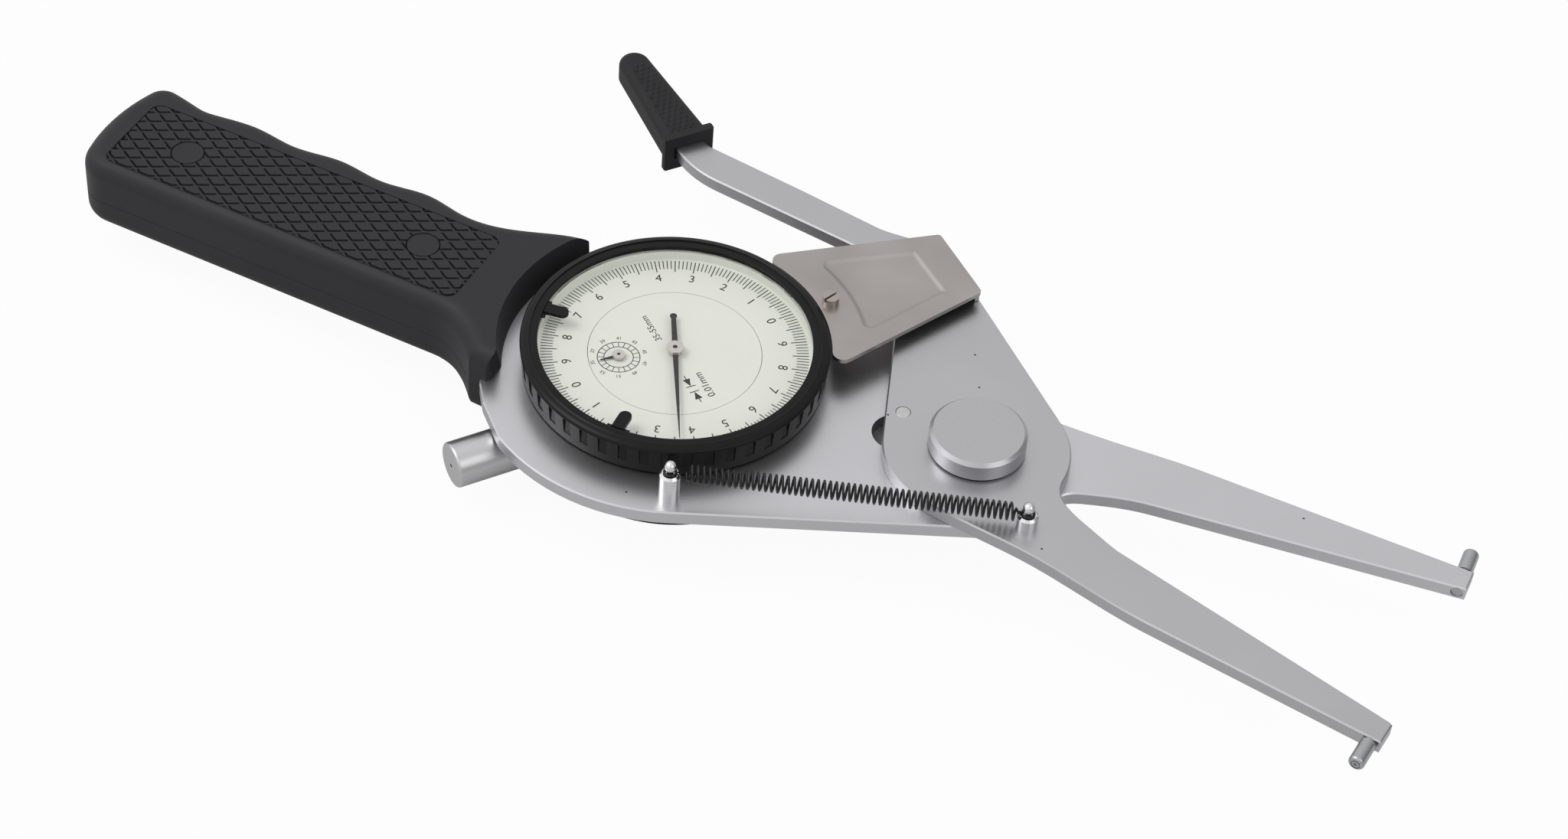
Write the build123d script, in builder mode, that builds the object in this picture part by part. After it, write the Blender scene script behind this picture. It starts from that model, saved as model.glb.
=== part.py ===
from build123d import *
import math
import os

# Internal dial caliper gauge, in millimetres.
# The origin is on the back of the dial case, under the centre of the dial. X runs from the
# dial towards the jaw pivot and the fixed leg, Z runs up through the dial face.

# Levels and thicknesses, counted up from the back of the case
case_depth = 12.6
plate_thickness = 2.5
jaw_thickness = 2.45
slide_gap = 0.05
fit_gap = 0.05
seat_gap = 0.02
edge_break = 0.25

plate_under = case_depth
plate_top = plate_under + plate_thickness
jaw_under = plate_top + slide_gap
jaw_top = jaw_under + jaw_thickness

# Base plate: a ring round the dial case, a hub round the pivot and the fixed leg
ring_radius = 34.45
ring_flat = [(32.9, 198), (33.4, 208.5), (33.7, 216), (34.5, 231)]
ring_flat_outside = 45.0
shoulder_radius = 29.0
hub_radius = 16.2
pivot_x = 54.2
pivot_y = -2.3
pivot_radius = 4.0
fixed_reach = 84.3
fixed_tip_width = 4.4
fixed_heel_height = 11.0
fixed_heel_reach = 36.0
stop_hole_radius = 4.2
stop_hole_x = -14.1
stop_hole_y = 0.8
tang_width = 12.0
tang_end = 101.0

# Moving jaw: hub disc, measuring leg and bent finger lever, seen from the pivot
jaw_hub_radius = 15.9
jaw_left_turn = 191.7
jaw_right_turn = 41.1
lever_root_x = -24.1
lever_root_y = 37.6
lever_back_y = 45.4
lever_bend_x = -47.0
lever_bend_y = 50.8
lever_end_x = -69.4
lever_end_y = 54.9
lever_end_width = 5.8
moving_tip_x = 77.3
moving_tip_y = -37.2
moving_tip_width = 4.5

# Rubber grip on the lever
grip_turn = 134.2
grip_length = 26.6
grip_root_width = 8.8
grip_tip_width = 5.8
grip_thickness = 5.8
collar_width = 9.7
collar_height = 7.2
collar_depth = 1.6

# Contact pins
contact_radius = 1.05
contact_head_radius = 1.35
contact_seat = 0.3
contact_ring_radius = 0.8
contact_ring_width = 0.16
contact_hole_radius = 0.3
contact_hole_depth = 0.3
fixed_contact_inset = 1.97
fixed_contact_stand = 5.2
fixed_contact_turn = 85.0
moving_contact_inset = 1.9
moving_contact_stand = 4.9
moving_contact_turn = 257.4

# Pivot
knob_radius = 8.25
knob_height = 3.75
knob_chamfer = 0.6
washer_thickness = 0.12
washer_radius = 7.4
pivot_head_radius = 6.5
pivot_head_height = 2.0

# Stop pin, drive pin and spring posts
stop_pin_radius = 1.3
stop_pin_x = -13.86
stop_pin_y = 3.39
drive_pin_radius = 1.5
drive_pin_reach = 45.68
post_radius = 1.8
post_ball_radius = 1.03
post_neck_radius = 0.6
post_neck_height = 0.55
base_post_x = 9.1
base_post_y = -29.1
base_post_height = 5.4
jaw_post_x = 66.7
jaw_post_y = -16.6
jaw_post_height = 2.5
spring_radius = 1.65
spring_wire = 0.55
spring_loop_gap = 0.12
spring_base_stand_off = 2.6
spring_jaw_stand_off = 1.8

# Cover over the drive pin
cover_thickness = 0.8
cover_top = 20.4
cover_ring_radius = 26.75
cover_corners = [(5.5, 25.4), (34.5, 43.1), (45.4, 31.6), (26.0, 3.2)]
flange_depth = 2.65
panel_corners = [(15.6, 28.15), (31.7, 37.4), (39.7, 29.4), (29.3, 13.9)]
panel_ring_radius = 32.5
panel_depth = 0.25
cover_screw_x = 21.6
cover_screw_y = 19.5
cover_screw_head = 1.43
cover_screw_height = 1.4
cover_post_radius = 1.9
cover_stud_x = 14.3
cover_stud_y = 24.6
cover_stud_radius = 1.0

# Handle, seen along its own axis, which slopes down towards the dial
handle_slope = -9.0
handle_half_height = 7.2
handle_middle = plate_under + plate_thickness / 2
handle_round = 3.2
handle_parting = 0.2
handle_front_side = -12.5
handle_end_points = [(-111.5, 13.3), (-114.6, -0.5), (-112.5, -12.5)]
handle_front_corner = 6.0
handle_back_corner = 4.0
handle_crest = 12.3
handle_trough = 11.35
handle_first_crest = -55.2
handle_crest_pitch = 17.9
yoke_radius = 29.4
yoke_flare = 1.0
pad_depth = 0.6
pad_left = -109.0
pad_right = -37.7
pad_front = -10.2
pad_back = 7.2
pad_corner = 2.0
plug_radius = 2.8
plug_places = [(-96.9, -1.3), (-49.0, -0.9)]
handle_screw_radius = 1.5
handle_screw_head = 2.4
screw_head_level = 17.0

# Case, bezel and dial
case_radius = 23.5
case_bore = 20.9
collar_radius = 21.9
collar_top = 17.6
rear_cover_thickness = 1.4
rear_cover_radius = 22.2
ring_nut_radius = 24.7
bezel_bottom = 15.4
bezel_top = 21.5
bezel_foot_radius = 25.93
bezel_rim_radius = 26.4
bezel_wall_radius = 23.95
grip_recesses = 45
grip_recess_turn = 5.6
grip_recess_width = 1.5
grip_recess_bottom = 17.25
grip_recess_top = 20.55
grip_recess_floor = 25.95
lip_radius = 23.4
lip_thickness = 0.5
flange_bottom = 16.75
flange_top = 17.15
dial_top = 18.3
dial_thickness = 0.5
dial_split_radius = 14.8
scale_gap = 0.1
crystal_bottom = 19.95
crystal_thickness = 0.7
marker_width = 2.2
marker_reach = 19.2
marker_turns = [181.3, 264.6]

# Movement: the rack drives the first wheel, which drives the pointer and the counter
spindle_level = 8.0
spindle_radius = 2.0
spindle_turn = 45.0
foot_radius = 3.0
foot_thickness = 1.5
foot_gap = 0.08
stem_radius = 4.0
stem_reach = 29.5
barrel_reach = 41.4
barrel_start = 30.5
rear_stem_radius = 3.3
barrel_end_wall = 1.5
rear_stem_reach = barrel_reach - barrel_end_wall - 2.4
rack_teeth = 22
rack_pitch = 0.625
rack_pinion_teeth = 16
wheel_teeth = 100
pinion_teeth = 10
gear_module = 0.1756
train_turn = 28.0
tooth_depth_out = 0.13
tooth_depth_in = 0.17
lower_plate_under = 10.4
upper_plate_under = 15.6
movement_plate_thickness = 1.0
movement_radius = 20.8
wheel_level = 12.6
wheel_thickness = 0.6
pillar_radius = 1.5
pillar_ring = 17.5
pillar_turns = [103, 133, 283, 313]

rack_pitch_radius = rack_pinion_teeth * rack_pitch / (2 * math.pi)
wheel_pitch_radius = gear_module * wheel_teeth / 2
pinion_pitch_radius = gear_module * pinion_teeth / 2
train_distance = wheel_pitch_radius + pinion_pitch_radius

os.makedirs("parts", exist_ok=True)


def polar(radius, turn):
    """Point at a radius and an angle in degrees round the origin."""
    return (radius * math.cos(math.radians(turn)), radius * math.sin(math.radians(turn)))


def at_pivot(x, y):
    """Point given as seen from the jaw pivot."""
    return (pivot_x + x, pivot_y + y)


def upright(x, y):
    """Upright plane through a point, for the half section of a turned piece."""
    return Plane(origin=(x, y, 0), x_dir=(1, 0, 0), z_dir=(0, -1, 0))


def plumb(x, y):
    """Upright axis through a point."""
    return Axis((x, y, 0), (0, 0, 1))


def save(part, name):
    """Label a finished piece and write it to its own file."""
    part.label = name
    export_step(part, "parts/" + name + ".step")


def web(ring, hub):
    """Two discs, round the dial and round the pivot, with the flat web between them."""
    with BuildSketch() as outline:
        Circle(ring)
        with Locations((pivot_x, pivot_y)):
            Circle(hub)
        make_hull()
    return outline.sketch


wheel_x, wheel_y = polar(train_distance, train_turn)
counter_x, counter_y = polar(train_distance, train_turn + 180)
drive_pin_x, drive_pin_y = polar(drive_pin_reach, spindle_turn)
handle_bottom = handle_middle - handle_half_height
handle_top = handle_middle + handle_half_height
handle_plane = Plane.XY.rotated((0, 0, handle_slope))
spindle_plane = Plane(
    origin=(0, 0, spindle_level),
    x_dir=(*polar(1, spindle_turn - 90), 0),
    z_dir=(*polar(1, spindle_turn), 0),
)

# Base plate: one flat blank with the fixed leg, the collar hole and the handle tang
with BuildSketch(Plane.XY.offset(plate_under)) as base_outline:
    add(web(ring_radius, hub_radius))
    with Locations((0, ring_radius)):
        Rectangle(4 * ring_radius, 2 * ring_radius, mode=Mode.SUBTRACT)
    flat_points = [polar(radius, turn) for radius, turn in ring_flat]
    flat_points.append(polar(ring_flat_outside, ring_flat[-1][1]))
    flat_points.append(polar(ring_flat_outside, ring_flat[0][1]))
    Polygon(*flat_points, align=None, mode=Mode.SUBTRACT)
    add(web(shoulder_radius, hub_radius))
    with BuildLine():
        crotch = at_pivot(*polar(hub_radius, -13.5))
        straight_start = at_pivot(31.0, 0)
        heel_end = at_pivot(*polar(hub_radius, 57))
        heel_start = at_pivot(fixed_heel_reach, fixed_heel_height)
        Line(at_pivot(0, 0), crotch)
        Spline(crotch, at_pivot(20.0, -1.5), straight_start, tangents=[(0.5, 0.9), (1, 0)])
        Line(straight_start, at_pivot(fixed_reach - 0.5, 0))
        Line(at_pivot(fixed_reach - 0.5, 0), at_pivot(fixed_reach, fixed_tip_width))
        Line(at_pivot(fixed_reach, fixed_tip_width), heel_start)
        Spline(
            heel_start,
            at_pivot(22.3, 11.9),
            at_pivot(15.9, 12.55),
            heel_end,
            tangents=[(-1, 0.09), (-0.96, 0.2)],
        )
        Line(heel_end, at_pivot(0, 0))
    make_face()
    with Locations(Location((0, 0, 0), (0, 0, handle_slope))):
        with Locations((-tang_end / 2, 0)):
            Rectangle(tang_end, tang_width)

contact_hole_plane = Plane(
    origin=(*at_pivot(fixed_reach - fixed_contact_inset, 0), plate_under + plate_thickness / 2),
    x_dir=(*polar(1, fixed_contact_turn - 90), 0),
    z_dir=(*polar(1, fixed_contact_turn), 0),
)
with BuildPart() as base_plate:
    extrude(base_outline.sketch, amount=plate_thickness)
    outer_rim = base_plate.faces().sort_by(Axis.Z)[-1].edges()
    chamfer(outer_rim, edge_break)
    with BuildSketch(Plane.XY.offset(plate_under)):
        Circle(collar_radius + fit_gap)
        with Locations((pivot_x, pivot_y)):
            Circle(pivot_radius + seat_gap)
        with Locations(at_pivot(stop_hole_x, stop_hole_y)):
            Circle(stop_hole_radius)
        with Locations((base_post_x, base_post_y)):
            Circle(post_radius / 2 + seat_gap)
        with Locations((cover_screw_x, cover_screw_y), (cover_stud_x, cover_stud_y)):
            Circle(cover_stud_radius / 2 + seat_gap)
        with Locations(Location((0, 0, 0), (0, 0, handle_slope))):
            with Locations(*plug_places):
                Circle(handle_screw_radius + seat_gap)
    extrude(amount=plate_thickness, mode=Mode.SUBTRACT)
    with BuildSketch(contact_hole_plane):
        Circle(contact_radius + seat_gap)
    extrude(amount=2 * fixed_tip_width, both=True, mode=Mode.SUBTRACT)
save(base_plate.part, "base_plate")



def contact_tip(end_plane):
    """Cut the ring round the hard insert and its centre mark into a contact pin's end."""
    with BuildSketch(end_plane) as tip_cut:
        Circle(contact_ring_radius)
        Circle(contact_ring_radius - contact_ring_width, mode=Mode.SUBTRACT)
        Circle(contact_hole_radius)
    extrude(tip_cut.sketch, amount=-contact_hole_depth, mode=Mode.SUBTRACT)


# Fixed contact pin, its tail pressed through the end of the fixed leg
fixed_head_start = contact_hole_plane.offset(fixed_tip_width + contact_seat)
fixed_head_end = contact_hole_plane.offset(fixed_tip_width + fixed_contact_stand)
with BuildPart() as contact_pin_fixed:
    with BuildSketch(fixed_head_start):
        Circle(contact_head_radius)
    extrude(amount=fixed_contact_stand - contact_seat)
    fillet(contact_pin_fixed.faces().sort_by(Axis.Y)[-1].edges(), contact_head_radius * 0.4)
    with BuildSketch(contact_hole_plane.offset(edge_break)):
        Circle(contact_radius)
    extrude(amount=fixed_tip_width + contact_seat)
    contact_tip(fixed_head_end)
save(contact_pin_fixed.part, "contact_pin_fixed")

# Moving jaw: a second flat blank on top of the first
left_tangent = at_pivot(*polar(jaw_hub_radius, jaw_left_turn))
right_tangent = at_pivot(*polar(jaw_hub_radius, jaw_right_turn))
grip_line = polar(1, grip_turn)
grip_side = polar(lever_end_width / 2, grip_turn + 90)
tang_reach = grip_length - 6
lever_corner_run = (lever_back_y + pivot_y - right_tangent[1]) / math.cos(math.radians(jaw_right_turn))
lever_corner_x = right_tangent[0] - lever_corner_run * math.sin(math.radians(jaw_right_turn))
lever_corner = (lever_corner_x, pivot_y + lever_back_y)
lever_path = [
    left_tangent,
    at_pivot(lever_root_x, lever_root_y),
    at_pivot(-67.0, 48.7),
    at_pivot(
        lever_end_x + grip_side[0] + grip_line[0] * tang_reach,
        lever_end_y + grip_side[1] + grip_line[1] * tang_reach,
    ),
    at_pivot(
        lever_end_x - grip_side[0] + grip_line[0] * tang_reach,
        lever_end_y - grip_side[1] + grip_line[1] * tang_reach,
    ),
    at_pivot(
        lever_end_x - grip_side[0] - grip_line[0] * 1.2,
        lever_end_y - grip_side[1] - grip_line[1] * 1.2,
    ),
    at_pivot(lever_bend_x, lever_bend_y),
    at_pivot(-30.0, lever_back_y + 0.5),
    lever_corner,
    right_tangent,
]
lever_radii = [14.0, 20.0, 0.5, 0.5, 3.0, 40.0, 15.0, 3.0]
with BuildSketch(Plane.XY.offset(jaw_under)) as jaw_outline:
    with BuildLine():
        FilletPolyline(*lever_path, radius=lever_radii)
        Line(right_tangent, at_pivot(0, 0))
        Line(at_pivot(0, 0), left_tangent)
    make_face()
    with Locations((pivot_x, pivot_y)):
        Circle(jaw_hub_radius)
    with BuildLine():
        outer_start = at_pivot(*polar(jaw_hub_radius, 250))
        outer_join = at_pivot(35.8, -28.1)
        tip_low = at_pivot(moving_tip_x - 0.5, moving_tip_y - moving_tip_width / 2)
        tip_high = at_pivot(moving_tip_x + 0.5, moving_tip_y + moving_tip_width / 2 - 0.2)
        tip_top = at_pivot(moving_tip_x - 0.1, moving_tip_y + moving_tip_width / 2 + 0.3)
        Line(at_pivot(0, 0), outer_start)
        Spline(outer_start, at_pivot(14.0, -20.2), outer_join, tangents=[(0.94, -0.34), (0.96, -0.28)])
        Line(outer_join, tip_low)
        Line(tip_low, tip_high)
        Line(tip_high, tip_top)
        inner_join = at_pivot(27.9, -14.4)
        inner_start = at_pivot(*polar(jaw_hub_radius, -10))
        Line(tip_top, inner_join)
        Spline(
            inner_join,
            at_pivot(22.8, -11.3),
            at_pivot(18.2, -8.2),
            inner_start,
            tangents=[(-0.88, 0.47), (0.05, 1)],
        )
        Line(inner_start, at_pivot(0, 0))
    make_face()

jaw_contact_plane = Plane(
    origin=(*at_pivot(moving_tip_x - moving_contact_inset, moving_tip_y), (jaw_under + jaw_top) / 2),
    x_dir=(*polar(1, moving_contact_turn + 90), 0),
    z_dir=(*polar(1, moving_contact_turn), 0),
)
with BuildPart() as moving_jaw:
    extrude(jaw_outline.sketch, amount=jaw_thickness)
    chamfer(moving_jaw.faces().sort_by(Axis.Z)[-1].edges(), edge_break)
    with BuildSketch(Plane.XY.offset(jaw_under)):
        with Locations((pivot_x, pivot_y)):
            Circle(pivot_radius + fit_gap)
        with Locations(at_pivot(stop_pin_x, stop_pin_y)):
            Circle(stop_pin_radius + seat_gap)
        with Locations((drive_pin_x, drive_pin_y)):
            Circle(drive_pin_radius + seat_gap)
        with Locations((jaw_post_x, jaw_post_y)):
            Circle(post_radius / 2 + seat_gap)
    extrude(amount=jaw_thickness, mode=Mode.SUBTRACT)
    with BuildSketch(jaw_contact_plane):
        Circle(contact_radius + seat_gap)
    extrude(amount=2 * moving_tip_width, both=True, mode=Mode.SUBTRACT)
save(moving_jaw.part, "moving_jaw")

# Moving contact pin, made and fitted like the fixed one
moving_head_start = jaw_contact_plane.offset(moving_tip_width / 2)
moving_head_end = jaw_contact_plane.offset(moving_tip_width / 2 + moving_contact_stand)
with BuildPart() as contact_pin_moving:
    with BuildSketch(moving_head_start):
        Circle(contact_head_radius)
    extrude(amount=moving_contact_stand)
    fillet(contact_pin_moving.faces().sort_by(Axis.Y)[0].edges(), contact_head_radius * 0.4)
    with BuildSketch(jaw_contact_plane.offset(edge_break - moving_tip_width / 2)):
        Circle(contact_radius)
    extrude(amount=moving_tip_width)
    contact_tip(moving_head_end)
save(contact_pin_moving.part, "contact_pin_moving")

# Rubber grip: a tapered sleeve with an end collar, pushed over the lever's tang
grip_plane = Plane(
    origin=(*at_pivot(lever_end_x, lever_end_y), (jaw_under + jaw_top) / 2),
    x_dir=(*polar(1, grip_turn), 0),
    z_dir=(0, 0, 1),
)
with BuildPart() as lever_grip:
    with BuildSketch(grip_plane.offset(-grip_thickness / 2)):
        with BuildLine():
            tip_start = grip_length - grip_tip_width / 2
            Polyline(
                (tip_start, grip_tip_width / 2),
                (0, grip_root_width / 2),
                (0, -grip_root_width / 2),
                (tip_start, -grip_tip_width / 2),
            )
            ThreePointArc(
                (tip_start, -grip_tip_width / 2), (grip_length, 0), (tip_start, grip_tip_width / 2)
            )
        make_face()
    extrude(amount=grip_thickness)
    round_edges = lever_grip.faces().filter_by(Axis.Z).edges()
    fillet(round_edges, 1.5)
    with BuildSketch(grip_plane.offset(-collar_height / 2)):
        with Locations((collar_depth / 2, 0)):
            RectangleRounded(collar_depth, collar_width, 0.4)
    extrude(amount=collar_height)
    with BuildSketch(grip_plane.offset(-jaw_thickness / 2 - fit_gap)):
        with Locations((tang_reach / 2 - 1, 0)):
            Rectangle(tang_reach + 2 + 2 * fit_gap, lever_end_width + 2 * fit_gap)
    extrude(amount=jaw_thickness + 2 * fit_gap, mode=Mode.SUBTRACT)
save(lever_grip.part, "lever_grip")

# Pivot: headed shaft riveted in the base plate, spring washer and flat round knob
knob_under = jaw_top + washer_thickness + 2 * seat_gap
with BuildPart() as pivot_shaft:
    with BuildSketch(upright(pivot_x, pivot_y)):
        with BuildLine():
            Polyline(
                (0, plate_under - pivot_head_height),
                (pivot_head_radius - 0.5, plate_under - pivot_head_height),
                (pivot_head_radius, plate_under - pivot_head_height + 0.5),
                (pivot_head_radius, plate_under),
                (pivot_radius, plate_under),
                (pivot_radius, knob_under),
                (pivot_radius / 2, knob_under),
                (pivot_radius / 2, knob_under + knob_height / 2),
                (0, knob_under + knob_height / 2),
                close=True,
            )
        make_face()
    revolve(axis=plumb(pivot_x, pivot_y))
    with BuildSketch(Plane.XY.offset(plate_under - pivot_head_height)):
        with Locations((pivot_x, pivot_y)):
            Rectangle(2 * pivot_head_radius, 1.2)
    extrude(amount=0.9, mode=Mode.SUBTRACT)
save(pivot_shaft.part, "pivot_shaft")

with BuildPart() as pivot_washer:
    with BuildSketch(Plane.XY.offset(jaw_top + seat_gap)):
        with Locations((pivot_x, pivot_y)):
            Circle(washer_radius)
            Circle(pivot_radius + fit_gap, mode=Mode.SUBTRACT)
    extrude(amount=washer_thickness)
save(pivot_washer.part, "pivot_washer")

with BuildPart() as pivot_knob:
    with BuildSketch(upright(pivot_x, pivot_y)):
        with BuildLine():
            Polyline(
                (pivot_radius / 2 + seat_gap, knob_under),
                (knob_radius - 0.3, knob_under),
                (knob_radius, knob_under + 0.3),
                (knob_radius, knob_under + knob_height - knob_chamfer),
                (knob_radius - knob_chamfer, knob_under + knob_height),
                (0, knob_under + knob_height),
                (0, knob_under + knob_height / 2 + seat_gap),
                (pivot_radius / 2 + seat_gap, knob_under + knob_height / 2 + seat_gap),
                close=True,
            )
        make_face()
    revolve(axis=plumb(pivot_x, pivot_y))
save(pivot_knob.part, "pivot_knob")

# Stop pin, riveted in the jaw and moving in the round hole of the base plate
stop_pin_centre = at_pivot(stop_pin_x, stop_pin_y)
with BuildPart() as stop_pin:
    with BuildSketch(Plane.XY.offset(plate_under + 0.3)):
        with Locations(stop_pin_centre):
            Circle(stop_pin_radius)
    extrude(amount=jaw_top - plate_under - 0.3)
    chamfer(stop_pin.faces().sort_by(Axis.Z)[-1].edges(), edge_break / 2)
save(stop_pin.part, "stop_pin")

# Drive pin, hanging from the lever to push the foot of the spindle
with BuildPart() as drive_pin:
    with BuildSketch(Plane.XY.offset(spindle_level - 2.5)):
        with Locations((drive_pin_x, drive_pin_y)):
            Circle(drive_pin_radius)
    extrude(amount=jaw_top - spindle_level + 2.5)
    chamfer(drive_pin.faces().sort_by(Axis.Z)[0].edges(), 0.4)
save(drive_pin.part, "drive_pin")


def post_section(foot, top, height):
    """Half section of a spring post: rivet, barrel, neck and ball, from foot to ball."""
    shoulder = top + height
    neck_end = shoulder + post_neck_height
    ball_centre = neck_end + math.sqrt(post_ball_radius ** 2 - post_neck_radius ** 2)
    Polyline(
        (0, foot),
        (post_radius / 2, foot),
        (post_radius / 2, top),
        (post_radius, top),
        (post_radius, shoulder - 0.4),
        (post_radius - 0.4, shoulder),
        (post_neck_radius, shoulder),
        (post_neck_radius, neck_end),
    )
    ThreePointArc(
        (post_neck_radius, neck_end),
        (post_ball_radius, ball_centre),
        (0, ball_centre + post_ball_radius),
    )
    Line((0, ball_centre + post_ball_radius), (0, foot))


with BuildPart() as spring_post_base:
    with BuildSketch(upright(base_post_x, base_post_y)):
        with BuildLine():
            post_section(plate_under, plate_top, base_post_height)
        make_face()
    revolve(axis=plumb(base_post_x, base_post_y))
save(spring_post_base.part, "spring_post_base")

with BuildPart() as spring_post_jaw:
    with BuildSketch(upright(jaw_post_x, jaw_post_y)):
        with BuildLine():
            post_section(jaw_under, jaw_top, jaw_post_height)
        make_face()
    revolve(axis=plumb(jaw_post_x, jaw_post_y))
save(spring_post_jaw.part, "spring_post_jaw")

# Tension spring: close coils as one tube, with a loop round each post's neck. The loop at the
# jaw is a node of its own, so that the coils can stretch between the two ends.
base_loop_level = plate_top + base_post_height + post_neck_height / 2
jaw_loop_level = jaw_top + jaw_post_height + post_neck_height / 2
spring_start = Vector(base_post_x, base_post_y, base_loop_level)
spring_end = Vector(jaw_post_x, jaw_post_y, jaw_loop_level)
spring_way = (spring_end - spring_start).normalized()
spring_length = (spring_end - spring_start).length - spring_base_stand_off - spring_jaw_stand_off
loop_radius = post_neck_radius + spring_wire / 2 + spring_loop_gap


def hook(loop_centre, way, stand_off):
    """Loop of spring wire round a post's neck, with its straight run to the end coil."""
    loop_plane = Plane(origin=loop_centre + way * loop_radius, z_dir=way.cross(Vector(0, 0, 1)))
    run_plane = Plane(origin=loop_centre + way * loop_radius, z_dir=way)
    with BuildSketch(loop_plane) as loop_wire:
        Circle(spring_wire / 2)
    revolve(loop_wire.sketch, axis=Axis(loop_centre, (0, 0, 1)))
    with BuildSketch(run_plane) as run_wire:
        Circle(spring_wire / 2)
    extrude(run_wire.sketch, amount=stand_off - loop_radius)


with BuildPart() as tension_spring:
    with BuildSketch(Plane(origin=spring_start + spring_way * spring_base_stand_off, z_dir=spring_way)):
        Circle(spring_radius)
    extrude(amount=spring_length)
    with BuildSketch(Plane(origin=spring_start + spring_way * (spring_base_stand_off + spring_wire),
                           z_dir=spring_way)):
        Circle(spring_radius - spring_wire)
    extrude(amount=spring_length - 2 * spring_wire, mode=Mode.SUBTRACT)
    hook(spring_start, spring_way, spring_base_stand_off)
save(tension_spring.part, "tension_spring")

with BuildPart() as spring_end_loop:
    hook(spring_end, -spring_way, spring_jaw_stand_off - seat_gap)
save(spring_end_loop.part, "spring_end_loop")

# Pressed sheet cover over the drive pin, with a lip along its outer edge
with BuildSketch(Plane.XY.offset(cover_top - cover_thickness)) as cover_outline:
    Polygon(*cover_corners, align=None)
    Circle(cover_ring_radius, mode=Mode.SUBTRACT)
    dial_side = cover_outline.vertices().sort_by_distance((0, 0))[0:2]
    fillet(dial_side, 1.8)
    far_side = cover_outline.vertices().sort_by_distance((0, 0))[-2:]
    fillet(far_side, 0.8)
with BuildSketch(Plane.XY.offset(cover_top - panel_depth)) as panel_outline:
    Polygon(*panel_corners, align=None)
    Circle(panel_ring_radius, mode=Mode.SUBTRACT)
    fillet(panel_outline.vertices().sort_by_distance((0, 0))[0:2], 1.8)
lip_corner_high = Vector(*cover_corners[1])
lip_corner_low = Vector(*cover_corners[2])
lip_way = (lip_corner_low - lip_corner_high).normalized()
lip_inward = Vector(lip_way.Y, -lip_way.X)
lip_middle = (lip_corner_high + lip_corner_low) * 0.5 + lip_inward * (cover_thickness / 2)
lip_length = (lip_corner_low - lip_corner_high).length - 1.4
with BuildPart() as cover_plate:
    extrude(cover_outline.sketch, amount=cover_thickness)
    with BuildSketch(Plane.XY.offset(cover_top - flange_depth)):
        with Locations((lip_middle.X, lip_middle.Y)):
            Rectangle(lip_length, cover_thickness, rotation=math.degrees(math.atan2(lip_way.Y, lip_way.X)))
    extrude(amount=flange_depth - panel_depth)
    extrude(panel_outline.sketch, amount=panel_depth, mode=Mode.SUBTRACT)
    with BuildSketch(Plane.XY.offset(cover_top - cover_thickness)):
        with Locations((cover_screw_x, cover_screw_y)):
            Circle(cover_stud_radius / 2 + seat_gap)
    extrude(amount=cover_thickness, mode=Mode.SUBTRACT)
save(cover_plate.part, "cover_plate")

cover_screw_end = plate_top + 1.0

# Threaded post under the cover screw and a plain stud under the cover's dial end
with BuildPart() as cover_posts:
    with BuildSketch(Plane.XY.offset(plate_top)):
        with Locations((cover_screw_x, cover_screw_y)):
            Circle(cover_post_radius)
        with Locations((cover_stud_x, cover_stud_y)):
            Circle(cover_stud_radius)
    extrude(amount=cover_top - cover_thickness - plate_top)
    with BuildSketch(Plane.XY.offset(plate_under)):
        with Locations((cover_screw_x, cover_screw_y), (cover_stud_x, cover_stud_y)):
            Circle(cover_stud_radius / 2)
    extrude(amount=plate_thickness)
    with BuildSketch(Plane.XY.offset(cover_screw_end)):
        with Locations((cover_screw_x, cover_screw_y)):
            Circle(cover_stud_radius / 2 + seat_gap)
    extrude(amount=cover_top - cover_screw_end, mode=Mode.SUBTRACT)
save(cover_posts.part, "cover_posts")

with BuildPart() as cover_screw:
    with BuildSketch(Plane.XY.offset(cover_screw_end + seat_gap)):
        with Locations((cover_screw_x, cover_screw_y)):
            Circle(cover_stud_radius / 2)
    extrude(amount=cover_top - cover_screw_end - seat_gap)
    with BuildSketch(Plane.XY.offset(cover_top)):
        with Locations((cover_screw_x, cover_screw_y)):
            Circle(cover_screw_head)
    extrude(amount=cover_screw_height)
    with BuildSketch(Plane.XY.offset(cover_top + cover_screw_height / 2)):
        with Locations((cover_screw_x, cover_screw_y)):
            Rectangle(3 * cover_screw_head, 0.4, rotation=60)
    extrude(amount=cover_screw_height, mode=Mode.SUBTRACT)
save(cover_screw.part, "cover_screw")

# Handle: front and rear shells clamp the tang and fork round the dial
with BuildSketch(handle_plane.offset(handle_bottom)) as handle_outline:
    with BuildLine():
        back_start = (-12.0, 16.8)
        arm_corner = (-29.2, -19.3)
        arm_inside = (-16.0, -19.8)
        front_end = (-41.0, handle_front_side)
        end_back, end_middle, end_front = handle_end_points
        wave = []
        for step in range(3):
            crest_place = handle_first_crest - step * handle_crest_pitch
            wave.append((crest_place, handle_crest))
            wave.append((crest_place - handle_crest_pitch / 2, handle_trough))
        Spline(
            back_start,
            (-29.0, 15.6),
            (-38.5, 12.0),
            (-47.2, 10.9),
            *wave,
            end_back,
            tangents=[(-1, 0), (-1, 0.15)],
        )
        ThreePointArc(end_back, end_middle, end_front)
        Line(end_front, front_end)
        Spline(front_end, (-36.2, -13.5), (-31.4, -17.0), arm_corner, tangents=[(1, 0), (0.7, -0.75)])
        Line(arm_corner, arm_inside)
        Line(arm_inside, back_start)
    make_face()
    fillet(handle_outline.vertices().sort_by_distance(end_front)[0], handle_front_corner)
    fillet(handle_outline.vertices().sort_by_distance(end_back)[0], handle_back_corner)

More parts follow.
